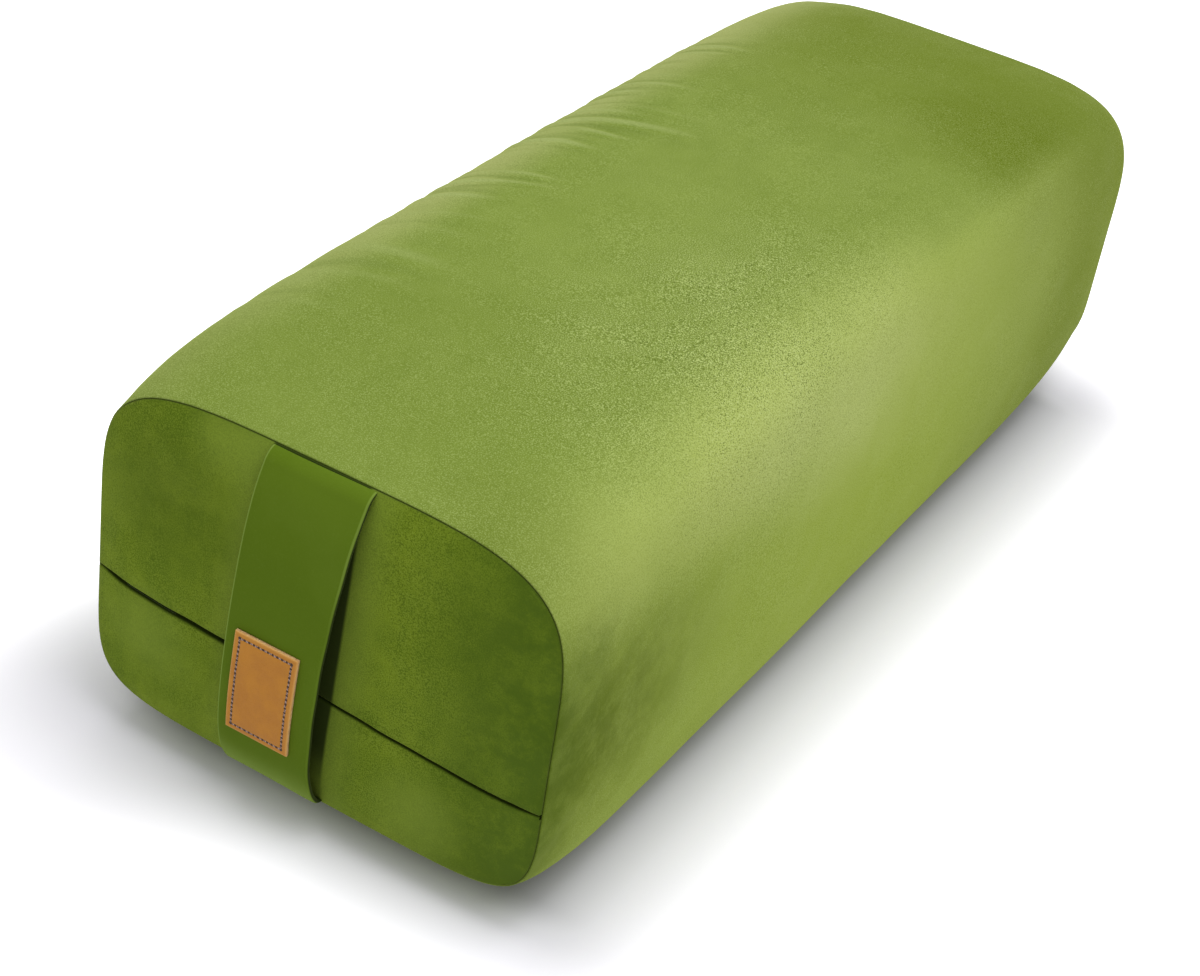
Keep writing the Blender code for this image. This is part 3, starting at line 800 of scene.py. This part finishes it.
def resampled(grid, places, axis, closes=False):
    """A grid at fractional places along one axis, on smooth curves through its points."""
    grid = np.moveaxis(grid, axis, 0)
    count = len(grid)
    whole = np.floor(places).astype(int)
    if not closes:
        before = 2.0 * grid[0] - grid[1]
        after = 2.0 * grid[-1] - grid[-2]
        grid = np.concatenate([before[None], grid, after[None]])
        whole = np.minimum(whole, count - 2)
    part = (np.asarray(places) - whole).reshape(-1, *([1] * (grid.ndim - 1)))

    def at(offset):
        if closes:
            return grid[(whole + offset) % count]
        return grid[np.clip(whole + offset + 1, 0, len(grid) - 1)]

    a, b, c, d = at(-1), at(0), at(1), at(2)
    cubic = 2.0 * a - 5.0 * b + 4.0 * c - d + part * (3.0 * (b - c) + d - a)
    return np.moveaxis(b + 0.5 * part * (c - a + part * cubic), 0, axis)


def unit(vectors):
    return vectors / np.maximum(np.linalg.norm(vectors, axis=-1, keepdims=True), 1e-12)


def across_of(vectors, axis):
    """The vectors less their part along an axis, made unit."""
    return unit(vectors - (vectors * axis).sum(-1, keepdims=True) * axis)


def toward_middle(points):
    """Unit directions to the middle of an end panel, level with its seam."""
    return unit((PANEL_MIDDLE - points) * np.array([1.0, 0.0, 1.0]))


def seam_frame(edge, inward_wrap, side):
    """At each point of a seam: unit directions into the wrap and into the end panel."""
    along = unit(np.roll(edge, -1, axis=0) - np.roll(edge, 1, axis=0))
    into_panel = across_of(toward_middle(edge), along)
    step = 0.002
    inner = edge + into_panel * step
    into_panel[:, 1] += side * bulge(panel_share(inner[:, 0], inner[:, 2])) / step
    return across_of(inward_wrap, along), across_of(into_panel, along)


def rolled_edge(edge, into_this, into_other):
    """Rows from the bottom of the seam over a rolled edge to where it meets the flat surface."""
    cosine = np.clip((into_this * into_other).sum(-1), -0.95, 0.95)
    half = np.arccos(cosine)[:, None] / 2.0
    radius = SEAM_REACH * np.tan(half / 2.0)
    inward = across_of(into_other, into_this)
    centre = edge + into_this * SEAM_REACH + inward * radius
    rows = []
    for share in np.linspace(1.0, 0.0, SEAM_ROWS):
        angle = (math.pi - half) * share
        rows.append(centre - into_this * radius * np.sin(angle) - inward * radius * np.cos(angle))
    return np.stack(rows)


def gather_height(y, across, seed):
    """Small folds across the long edge: fine ridges that fan out over the top and fade."""
    rng = np.random.default_rng(seed)
    made = np.zeros_like(y)
    for place, stop, highest, wider, limits in (
        (-0.135, 0.205, 0.0009, 1.0, (-0.17, -0.07, 0.15, 0.24)),
        (-0.285, -0.12, 0.00034, 1.5, (-0.28, -0.24, -0.16, -0.09)),
    ):
        ends = gate(y, *limits[:2]) * (1.0 - gate(y, *limits[2:]))
        while place < stop:
            reach = rng.uniform(0.035, 0.11)
            tilt = rng.uniform(0.36, 0.62)
            bend = rng.uniform(1.6, 4.0)
            width = rng.uniform(0.002, 0.0052) * wider
            height = rng.uniform(0.18, 1.0) * highest
            centre = place + tilt * across - bend * across * across
            offset = (y - centre) / width
            sides = np.exp(-((offset - 2.0) ** 2)) + np.exp(-((offset + 2.0) ** 2))
            ridge = np.exp(-offset * offset) - 0.45 * sides
            fade = 1.0 - gate(across, 0.3 * reach, reach)
            made += height * ridge * gate(across, -0.012, 0.01) * fade * ends
            place += rng.uniform(0.005, 0.021)
    return made


def lumps(points, scale, seed):
    """Smooth unevenness between -1 and 1 at a given size of lump."""
    shift = Vector((seed * 3.1, seed * 1.7, seed * 2.3))
    made = [noise.noise(Vector(p) / scale + shift) for p in points.reshape(-1, 3).tolist()]
    return np.array(made).reshape(points.shape[:-1])


def grid_normals(grid, closes, flips):
    down = np.gradient(grid, axis=0)
    if closes:
        over = (np.roll(grid, -1, axis=1) - np.roll(grid, 1, axis=1)) / 2.0
    else:
        over = np.gradient(grid, axis=1)
    made = unit(np.cross(over, down))
    return -made if flips else made


def row_places():
    """Fractional places along the cover, closer together where the long edge gathers."""
    inset = 0.95
    rows, place = [], inset
    while place < ALONG_STEPS - inset:
        rows.append(place)
        y = place * (LENGTH / ALONG_STEPS) - SEAM_Y
        place += 0.32 if -0.155 < y < 0.215 else 0.5
    return np.array([*rows, ALONG_STEPS - inset])


def wrap_surface(grid):
    """Rows of the cover's wrap from the near seam to the far one, with both edges rolled in.

    Also what the panels need of each seam, and the attributes that the velvet reads.
    """
    grid = resampled(grid, np.arange(0.0, AROUND_STEPS, 0.5), 1, closes=True)
    body = resampled(grid, row_places(), 0)
    normals = grid_normals(body, True, True)
    x, y, z = body[..., 0], body[..., 1], body[..., 2]
    left = gather_height(y, x + WIDTH / 2.0 - 0.01, 7) * gate(z, 0.15, 0.195) ** 2
    right = gather_height(y, WIDTH / 2.0 - 0.008 - x, 11) * gate(z, 0.15, 0.2) * 0.22
    raised = left + right
    folds = np.clip(raised / 0.0008, -1.0, 1.0)
    seam_gap = SEAM_Y - np.abs(y)
    fade = gate(seam_gap, 0.004, 0.03)
    pucker = np.exp(-seam_gap / 0.011) * gate(seam_gap, 0.001, 0.007)
    raised += (0.0006 * lumps(body, 0.095, 1) + 0.00015 * lumps(body, 0.022, 2)) * fade
    raised += 0.0007 * lumps(body * np.array([1.0, 0.18, 1.0]), 0.0062, 3) * pucker
    body = body + normals * (raised * gate(z, 0.0005, 0.004))[..., None]
    ends = []
    for side, place, inner in ((-1.0, 0.0, 0.35), (1.0, float(ALONG_STEPS), ALONG_STEPS - 0.35)):
        edge, inside = resampled(grid, [place], 0)[0], resampled(grid, [inner], 0)[0]
        ends.append((edge, *seam_frame(edge, inside - edge, side)))
    near, far = ends
    rows = np.concatenate([rolled_edge(*near), body, rolled_edge(*far)[::-1]])
    rows[..., 2] = np.maximum(rows[..., 2], 0.0)
    shade, fold = np.zeros((2, *rows.shape[:2]))
    shade[:SEAM_ROWS] = WRAP_SEAM_SHADE[:, None]
    shade[-SEAM_ROWS:] = WRAP_SEAM_SHADE[::-1, None]
    fold[SEAM_ROWS:-SEAM_ROWS] = folds
    return rows, near, far, {"seam": shade.reshape(-1), "fold": fold.reshape(-1)}


def panel_lists(upper, side):
    """Fractional places of a panel patch: its rows from bottom to top, and its columns."""
    inset = SEAM_REACH / 0.0066
    slit = 0.32 if side < 0 else 0.0
    steps = UPPER_STEPS if upper else LOWER_STEPS
    low, high = (slit, inset) if upper else (inset, slit)
    rows = np.linspace(low, steps - high, 2 * steps + 1)
    return rows, np.linspace(inset, TOP_STEPS - inset, 2 * TOP_STEPS + 1)


def seam_columns(upper):
    """Column numbers of the seam's fine ring, from the left end of the slit round to its right."""
    right_slit, left_slit, around = 2 * RIGHT_SLIT, 2 * LEFT_SLIT, 2 * AROUND_STEPS
    if upper:
        return np.arange(right_slit, left_slit + 1)[::-1]
    return np.arange(left_slit, around + right_slit + 1) % around


def slit_gap(x):
    """Half the slit's opening, wider left of the strap and where the slider stops."""
    left = gate(-x, -0.02, 0.03)
    ends = gate(WIDTH / 2.0 - np.abs(x), 0.004, 0.016)
    blunt = np.exp(-(((x + 0.0385) / 0.0045) ** 2))
    stop = gate(x, 0.068, 0.084)
    return 0.00022 + ends * (0.00046 + 0.0005 * left + 0.00035 * blunt + 0.00014 * stop)


def slit_wave(x):
    """The zip line's slight waviness, which ends where the slider stops."""
    wave = 0.00026 * np.sin(x * 95.0 + 0.6) + 0.00012 * np.sin(x * 260.0)
    return wave * (1.0 - gate(x, 0.066, 0.084))


def lip_height(x, away):
    """Where the cloth begins to roll into the slit, above (1) or below (-1) it."""
    return slit_height(x) + slit_wave(x) + away * (slit_gap(x) + SLIT_ROLL)


def slit_lip(row, away):
    """Rows that roll a panel half's edge in at the slit: from the surface to the end of its hem."""
    start = row.copy()
    start[:, 2] = lip_height(row[:, 0], away)
    rows = []
    for angle in np.radians([0.0, 22.0, 45.0, 68.0, 90.0]):
        inward, turned = 1.0 - math.cos(angle), math.sin(angle)
        rows.append(start + SLIT_ROLL * np.array([0.0, inward, -away * turned]))
    for deeper in (0.4, 1.0):
        inward = SLIT_DEPTH * deeper - SLIT_ROLL * deeper * 0.4
        rows.append(rows[4] + np.array([0.0, inward, 0.0]))
    return rows


class Skin:
    """Collects grids of points into one mesh, with one point at each place."""

    def __init__(self):
        self.grids, self.faces, self.count = [], [], 0

    def add(self, grid, closes=False, flips=False, slot=0):
        grid = np.asarray(grid)
        index = np.arange(self.count, self.count + grid.shape[0] * grid.shape[1])
        self.count += index.size
        self.grids.append(grid.reshape(-1, 3))
        found = grid_faces(index.reshape(grid.shape[:2]), closes, flips)
        self.faces += [(face, slot) for face in found]

    def piece(self, name, materials, attributes=None, weld=0.000002):
        points = np.concatenate(self.grids)
        first, inverse = shared(np.round(points / weld).astype(np.int64))
        faces, slots = [], []
        for face, slot in self.faces:
            corners = list(dict.fromkeys(int(inverse[i]) for i in face))
            if len(corners) > 2:
                faces.append(corners)
                slots.append(slot)
        mesh = bpy.data.meshes.new(name)
        mesh.from_pydata(points[first].tolist(), [], faces)
        for one in materials:
            mesh.materials.append(one)
        mesh.polygons.foreach_set("material_index", slots)
        for key, values in (attributes or {}).items():
            layer = mesh.attributes.new(key, "FLOAT", "POINT")
            layer.data.foreach_set("value", np.asarray(values)[first].astype(np.float32))
        mesh.shade_smooth()
        mesh.update()
        return added(name, mesh)


def panel_piece(name, halves, side, end):
    """Halves of an end panel, the seam edge rolled in and, on the near one, the slit hemmed."""
    edge, into_wrap, into_panel = end
    strip = rolled_edge(edge, into_panel, into_wrap)
    allowance = strip[0] + np.array([0.0, -side * SEAM_ALLOWANCE, 0.0])
    allowance = allowance + toward_middle(allowance) * ALLOWANCE_LEAN
    skin = Skin()
    shades = []
    for is_upper, grid in halves:
        rows, columns = panel_lists(is_upper, side)
        patch = resampled(resampled(grid, rows, 0), columns, 1)
        ring = seam_columns(is_upper)
        tangent = strip[-1][ring]
        count, wide = len(rows), len(columns)
        # Rows from the slit to the seam, where the upper half begins with its lowest row
        outward = np.s_[:: 1 if is_upper else -1]
        patch[outward][:, 0] = tangent[:count]
        patch[outward][-1] = tangent[count - 1 : count + wide - 1]
        patch[outward][:, -1] = tangent[count + wide - 2 :][::-1]
        x, z = patch[..., 0], patch[..., 2]
        share = panel_share(x, z)
        soft = 1.0 - gate(share, 0.86, 0.97)
        raised = (0.0007 * lumps(patch, 0.055, 5) + 0.0002 * lumps(patch, 0.018, 6)) * soft
        shade = 0.24 * np.exp(-(1.0 - share) / 0.022)
        if side < 0:
            from_slit = np.abs(z - slit_height(x))
            by_strap = np.abs(x - STRAP_CENTRE)
            free = gate(from_slit, 0.004, 0.016) * gate(by_strap, 0.026, 0.036)
            raised = np.where(raised > 0.0, raised * free, raised)
            shade = np.maximum(shade, 0.3 * np.exp(-from_slit / 0.0022))
        full = patch + grid_normals(patch, False, side > 0) * raised[..., None]
        seam_rows = strip[:, ring]
        if side < 0:
            away = 1.0 if is_upper else -1.0
            lip = slit_lip(full[outward][0], away)
            full[outward][0] = lip[0]
            full = np.concatenate([lip[:0:-1], full[outward]])[outward]
            dark = np.repeat(LIP_SHADE[:0:-1, None], wide, axis=1)
            shade = np.concatenate([dark, shade[outward]])[outward]
            ends = [0, -1]
            seam_rows[:, ends, 2] = lip_height(seam_rows[:, ends, 0], away)
            seam_rows[-1, ends] = lip[0][ends]
        skin.add(full, flips=side > 0)
        shades.append(shade.reshape(-1))
        skin.add([allowance[ring], *seam_rows], flips=(side < 0) == is_upper)
        shades.append(np.repeat([1.0, *PANEL_SEAM_SHADE], len(ring)))
    return skin.piece(name, [SHADED_PANEL_VELVET], {"seam": np.concatenate(shades)})


def build_cover():
    grids = stuffed(cover_grids())
    rows, near, far, attributes = wrap_surface(grids["wrap"])
    skin = Skin()
    skin.add(rows, closes=True, flips=True)
    wrap = skin.piece("velvet_cover_wrap", [WRAP_VELVET], attributes)
    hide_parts("cover_wrap")
    pieces = [wrap]
    for name, node, side, end, halves in (
        ("near_panel_upper", "near_end_upper_panel", -1.0, near, ("near_upper",)),
        ("near_panel_lower", "near_end_lower_panel", -1.0, near, ("near_lower",)),
        ("far_panel", "far_end_panel", 1.0, far, ("far_upper", "far_lower")),
    ):
        halves = [(half.endswith("upper"), grids[half]) for half in halves]
        piece = panel_piece(name, halves, side, end)
        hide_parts(node)
        pieces.append(piece)
    for piece in pieces:
        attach(piece, "cover")


build_cover()


# Strap

STRAP_LOW = float(bottom_height(SEAM_Y)) + VELVET
STRAP_HIGH = float(top_height(SEAM_Y)) - VELVET
STRAP_EDGE = 0.0013


def strap_centre(z):
    return STRAP_CENTRE + (z - ZIP_HEIGHT) * math.tan(ZIP_SLANT)


def strap_inside(z):
    """Y of the strap's inner face along its middle line."""
    rise = np.clip((z - STRAP_LOW) / (STRAP_HIGH - STRAP_LOW), 0.0, 1.0)
    belly = (1.0 - rise**STRAP_TOP_EXPONENT) * (1.0 - (1.0 - rise) ** STRAP_BOTTOM_EXPONENT)
    share = panel_share(strap_centre(z), z)
    return -(SEAM_Y + GAP + bulge(share) + STRAP_STAND_OFF * belly)


def strap_path():
    """The strap's middle line, (y, z), from the top seam down to the bottom seam, evenly spaced."""
    low, high = STRAP_LOW, STRAP_HIGH
    upper = np.linspace(high - 0.0055, low + 0.03, 140)
    heights = np.concatenate([upper, np.linspace(low + 0.03, low + 0.0016, 90)[1:]])
    y = strap_inside(heights) - STRAP_THICKNESS / 2.0
    top = [(-0.319, -0.001), (-0.3212, 0.0006), (-0.3236, 0.0007), (-0.3254, -0.0006)]
    top = np.add([*top, (y[0] + 0.0003, -0.0028)], (0.0, high))
    foot = np.add([(-0.3232, -0.0003), (-0.3212, 0.0), (-0.3195, 0.0012)], (0.0, low))
    points = np.concatenate([top, np.stack([y, heights], axis=1), foot])
    for _ in range(2):
        points[1:-1] = 0.25 * points[:-2] + 0.5 * points[1:-1] + 0.25 * points[2:]
    reach = travelled(points)
    wanted = np.linspace(0.0, reach[-1], 150)
    return np.stack([np.interp(wanted, reach, points[:, k]) for k in (0, 1)], axis=1)


def strap_section():
    """Across the strap: (share of width, share of thickness), round its flat closed section."""
    edge = STRAP_EDGE / STRAP_WIDTH
    across = np.linspace(-0.5 + edge, 0.5 - edge, 15)
    turn = np.radians([70.0, 45.0, 20.0, 0.0, -20.0, -45.0, -70.0])
    round_edge = [(0.5 - edge + edge * math.cos(a), 0.5 * math.sin(a)) for a in turn]
    half = np.array([*((u, 0.5) for u in across), *round_edge])
    return np.concatenate([half, -half])


def build_strap():
    path = strap_path()
    direction = unit(np.gradient(path, axis=0))
    outward = np.stack([direction[:, 1], -direction[:, 0]], axis=1)
    u, t = strap_section().T
    (y, z), out = path.T[..., None], outward.T[..., None]
    share = np.clip(np.minimum(STRAP_HIGH - z, z - STRAP_LOW) / 0.004, 0.0, 1.0)
    flare = 0.003 * gate(z, 0.1, 0.2) * (u + 0.5)
    ripple = 0.000175 * np.sin(z * 210.0) * np.sin((u + 0.5) * 5.0)
    crease = 0.0006 * np.exp(-(((z - 0.034) / 0.006) ** 2) - ((u - 0.36) / 0.12) ** 2)
    lift = t * STRAP_THICKNESS * (0.55 + 0.45 * share) + ripple + crease
    x = strap_centre(z) + u * STRAP_WIDTH + flare
    rows = np.stack([x, y + lift * out[0], z + lift * out[1]], axis=-1)
    # Painted highlights along the front edges, fullest on the left, and where the foot turns under;
    # painted shade on the back half
    right_edge_highlight = (u > 0.46) * (0.15 + 0.55 * gate(z, 0.13, 0.17))
    turned = 0.8 * gate(STRAP_LOW + 0.026 - z, 0.0, 0.022) * (t > 0.3)
    edges = np.where(u < -0.46, 1.0, right_edge_highlight) * (t > 0.1) * (t < 0.495)
    edge_highlights = np.maximum(edges, turned)
    back_shades = np.where(t < 0.3, np.ones_like(z), 0.0)
    split = int(np.argmin(np.abs(path[:, 1] - LABEL_CENTRE_HEIGHT)))
    for name, part, start, end in (
        ("strap_upper", slice(0, split + 1), STRAP_HIGH, 0.118),
        ("strap_lower", slice(split, None), STRAP_LOW, 0.047),
    ):
        skin = Skin()
        skin.add(rows[part], closes=True, flips=True)
        values = {"edge_highlight": edge_highlights[part].reshape(-1), "back_shade": back_shades[part].reshape(-1)}
        piece = skin.piece(name, [STRAP_CLOTH], values)
        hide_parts("handle_strap")
        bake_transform(piece)


STRAP_CLOTH = strap_cloth()
build_strap()


# Leather label

STITCH_INSET = 0.003
STITCHES_ACROSS, STITCHES_UP = 11, 20
THREAD_RADIUS = 0.00052
FINE_WELD = 0.0000002


def label_place(u, v, lift):
    """A point of the label: u and v in metres from its middle, lift out from the strap's face."""
    z = LABEL_CENTRE_HEIGHT + v
    x = strap_centre(z) + LABEL_ACROSS + u
    y = strap_inside(z) - STRAP_THICKNESS - 0.0001 - lift
    return np.stack([x, y, z], axis=-1)


def from_label_edge(u, v):
    return np.minimum(LABEL_WIDTH / 2.0 - np.abs(u), LABEL_HEIGHT / 2.0 - np.abs(v))


def label_front(u, v):
    """Height of the label's front: flat, rounded at its edge, pressed in along the stitch line."""
    to_edge = from_label_edge(u, v)
    channel = np.exp(-(((to_edge - STITCH_INSET) / 0.0009) ** 2))
    corner = 0.0005
    rounded = np.sqrt(np.clip(1.0 - (1.0 - np.clip(to_edge / corner, 0.0, 1.0)) ** 2, 0.0, 1.0))
    return LABEL_THICKNESS - 0.00022 * channel - corner * (1.0 - rounded)


def build_label():
    near_edge = np.array([0.0, 0.00006, 0.00018, 0.00036, 0.0006, 0.001])

    def line(half):
        middle = np.arange(-half + 0.0016, half - 0.0014, 0.00062)
        return np.concatenate([-half + near_edge, middle, (half - near_edge)[::-1]])

    u, v = np.meshgrid(line(LABEL_WIDTH / 2.0), line(LABEL_HEIGHT / 2.0))
    front = label_place(u, v, label_front(u, v))
    back = label_place(u, v, np.zeros_like(u))
    # Painted highlight along the label's edges
    edge_highlight = np.exp(-from_label_edge(u, v) / 0.00035)
    skin = Skin()
    skin.add(front)
    edge_highlights = [edge_highlight.reshape(-1)]
    for picked in (np.s_[0, :], np.s_[:, -1], np.s_[-1, ::-1], np.s_[::-1, 0]):
        side = [back[picked], 0.5 * (back[picked] + front[picked]), front[picked]]
        skin.add(side, slot=1)
        edge_highlights.append(np.ones(3 * len(back[picked])))
    skin.add(back, flips=True, slot=1)
    values = np.concatenate([*edge_highlights, np.zeros(u.size)])
    piece = skin.piece("leather_patch", [leather(), cut_leather()], {"edge_highlight": values})
    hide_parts("leather_label")
    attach(piece, "handle")


def stitch_points():
    """Hole places round the label, in order, evenly spaced on each side."""
    a, b = LABEL_WIDTH / 2.0 - STITCH_INSET, LABEL_HEIGHT / 2.0 - STITCH_INSET
    corners = [(-a, b), (a, b), (a, -b), (-a, -b)]
    made = []
    for (x0, y0), (x1, y1) in zip(corners, corners[1:] + corners[:1]):
        count = STITCHES_ACROSS if abs(x1 - x0) > abs(y1 - y0) else STITCHES_UP
        made += [(x0 + (x1 - x0) * i / count, y0 + (y1 - y0) * i / count) for i in range(count)]
    return made


def build_stitches():
    holes = stitch_points()
    skin, pits = Skin(), Skin()
    rng = np.random.default_rng(3)
    around = np.radians(np.arange(0.0, 360.0, 45.0))
    across, over = np.cos(around), np.sin(around)
    for k, (u0, v0) in enumerate(holes):
        u1, v1 = holes[(k + 1) % len(holes)]
        sway = rng.uniform(-0.00012, 0.00012)
        length = math.hypot(u1 - u0, v1 - v0)
        du, dv = (u1 - u0) / length, (v1 - v0) / length
        rings = []
        for t in np.linspace(0.14, 0.86, 9):
            hump = max(0.0, math.sin(math.pi * (t - 0.14) / 0.72))
            radius = THREAD_RADIUS * (0.4 + 0.6 * math.sqrt(hump))
            ru = u0 + (u1 - u0) * t - dv * (sway + radius * across)
            rv = v0 + (v1 - v0) * t + du * (sway + radius * across)
            base = LABEL_THICKNESS - 0.00058 + 0.00034 * hump
            rings.append(label_place(ru, rv, base + radius * over))
        skin.add(rings, closes=True)
        # Dark discs at the holes: painted shade of the holes, which are not cut into the label
        at_corner = k % (STITCHES_ACROSS + STITCHES_UP) in (0, STITCHES_ACROSS)
        wide = 0.0009 if at_corner else 0.0007
        disc = []
        for share, lift in ((1.0, 0.00002), (0.8, 0.00007), (0.4, 0.00006), (0.02, 0.00006)):
            ru, rv = u0 + share * wide * across, v0 + share * wide * over
            disc.append(label_place(ru, rv, label_front(ru, rv) + lift))
        pits.add(disc, closes=True)
    piece = skin.piece("label_stitching", [thread()], weld=FINE_WELD)
    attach(piece, "handle")
    dark = moulded("stitch_hole_shade", (0.03, 0.014, 0.008), (0.06, 0.03, 0.018), 0.8)
    piece = pits.piece("label_stitch_holes", [dark], weld=FINE_WELD)
    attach(piece, "handle")


build_label()
build_stitches()


# Finishes of the CAD pieces that stay


def finish_cad_pieces():
    """Each node takes the finish of the first word that its name has."""
    tape = woven("zip_tape_weave", (0.045, 0.075, 0.012), (0.075, 0.115, 0.022), 0.0006, 0.9)
    enamel = moulded("slider_enamel", (0.075, 0.13, 0.018), (0.14, 0.2, 0.05), 0.32)
    finishes = (
        ("tape", tape),
        ("coil", moulded("zip_coil_nylon", (0.05, 0.085, 0.014), (0.08, 0.125, 0.028), 0.4)),
        ("stop", moulded("stop_steel", (0.42, 0.42, 0.43), (0.62, 0.62, 0.62), 0.35, 1.0)),
        ("slider", enamel),
        ("pull_tab", enamel),
        ("liner", woven("liner_cotton", (0.62, 0.6, 0.54), (0.8, 0.78, 0.72), 0.0008, 0.95)),
        ("hull_filling", hulls()),
    )
    for name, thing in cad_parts.items():
        chosen = next((finish for word, finish in finishes if word in name), None)
        if chosen:
            for slot in thing.material_slots:
                slot.material = chosen


finish_cad_pieces()


# Floor, backdrop and light


def seen_directly(made):
    """1 for the camera's own rays and for what shows in gloss or through glass."""
    rays = made.add("LightPath").outputs
    seen = made.math("MAXIMUM", rays["Is Camera Ray"], rays["Is Glossy Ray"])
    return made.math("MAXIMUM", seen, rays["Is Transmission Ray"])


def outside_distance(made, half_x, half_y, stretch_y=1.0):
    """Distance on the floor outside a rectangle, which may count for more along Y."""
    value = made.coordinates
    for operation, second in (
        ("ABSOLUTE", (0.0, 0.0, 0.0)),
        ("SUBTRACT", (half_x, half_y, 0.0)),
        ("MAXIMUM", (0.0, 0.0, 0.0)),
        ("MULTIPLY", (1.0, stretch_y, 0.0)),
    ):
        value = made.vectors(operation, value, second)
    return made.vectors("LENGTH", value, (0.0, 0.0, 0.0), "Value")


def build_floor():
    """White where the camera sees it far away, and beside the object shaded by it and by painted
    shadow.
    """
    made = material("floor_white")
    made.tree.nodes.clear()
    half_x = WIDTH / 2.0
    # A trace of blue beside the object, against the green that it throws on the floor
    distance = outside_distance(made, half_x, SEAM_Y)
    tint = made.lay((0.9, 0.885, 0.955), ((0.91, 0.91, 0.91), (distance, 0.0, 0.25)))
    # Painted shadow: a little greyer where the bolster's long sides meet it
    painted_contact_shadow = made.range(outside_distance(made, 0.088, 0.29, 2.5), 0.0, 0.058, 0.42, 1.0)
    colour = made.add("VectorMath", {0: tint, "Scale": painted_contact_shadow}, operation="SCALE").outputs[0]
    # Its own white: little beside the object, where its shadow shows, and full farther out
    white = made.range(outside_distance(made, half_x, 0.3), 0.0, 0.11, 0.02, 0.85)
    # Painted shadow: less of its white by the near left corner
    painted_corner_shadow = made.range(made.away((-0.125, -0.335, 0.0)), 0.03, 0.15, 0.3, 1.0)
    strength = made.product(seen_directly(made), white, painted_corner_shadow)
    glow = made.add("Emission", {"Color": WHITE, "Strength": strength}).outputs[0]
    diffuse = made.add("BsdfDiffuse", {"Color": colour}).outputs[0]
    both = made.add("AddShader", {0: diffuse, 1: glow}).outputs[0]
    made.add("OutputMaterial", {"Surface": both})
    mesh = bpy.data.meshes.new("floor")
    size, depth = 6.0, -0.0002
    corners = [(x * size, y * size, depth) for x, y in ((-1, -1), (1, -1), (1, 1), (-1, 1))]
    mesh.from_pydata(corners, [], [(0, 1, 2, 3)])
    mesh.materials.append(made.owner)
    floor = added("floor", mesh)


def build_world():
    """An even white light, and full white where the camera looks past the floor."""
    bpy.context.scene.world = bpy.data.worlds.new("studio")
    made = Nodes(bpy.context.scene.world)
    made.tree.nodes.clear()
    lit, shown = (
        made.add("Background", {"Color": WHITE, "Strength": strength}).outputs[0]
        for strength in (0.56, 1.0)
    )
    mix = made.add("MixShader", {0: seen_directly(made), 1: lit, 2: shown}).outputs[0]
    made.add("OutputWorld", {"Surface": mix})


def area_light(name, place, aim, size, watts):
    """A square light that faces its aim."""
    data = bpy.data.lights.new(name, "AREA")
    data.size = size
    data.energy = watts
    light = added(name, data)
    light.location = place
    light.rotation_mode = "QUATERNION"
    light.rotation_quaternion = (Vector(aim) - Vector(place)).to_track_quat("-Z", "Y")


build_floor()
build_world()
area_light("key", (0.55, -0.45, 1.3), (0.03, -0.12, 0.1), 0.8, 5.0)
area_light("top", (0.0, -0.2, 1.5), (0.0, -0.1, 0.1), 1.1, 7.0)
bpy.context.scene.view_settings.view_transform = "Standard"
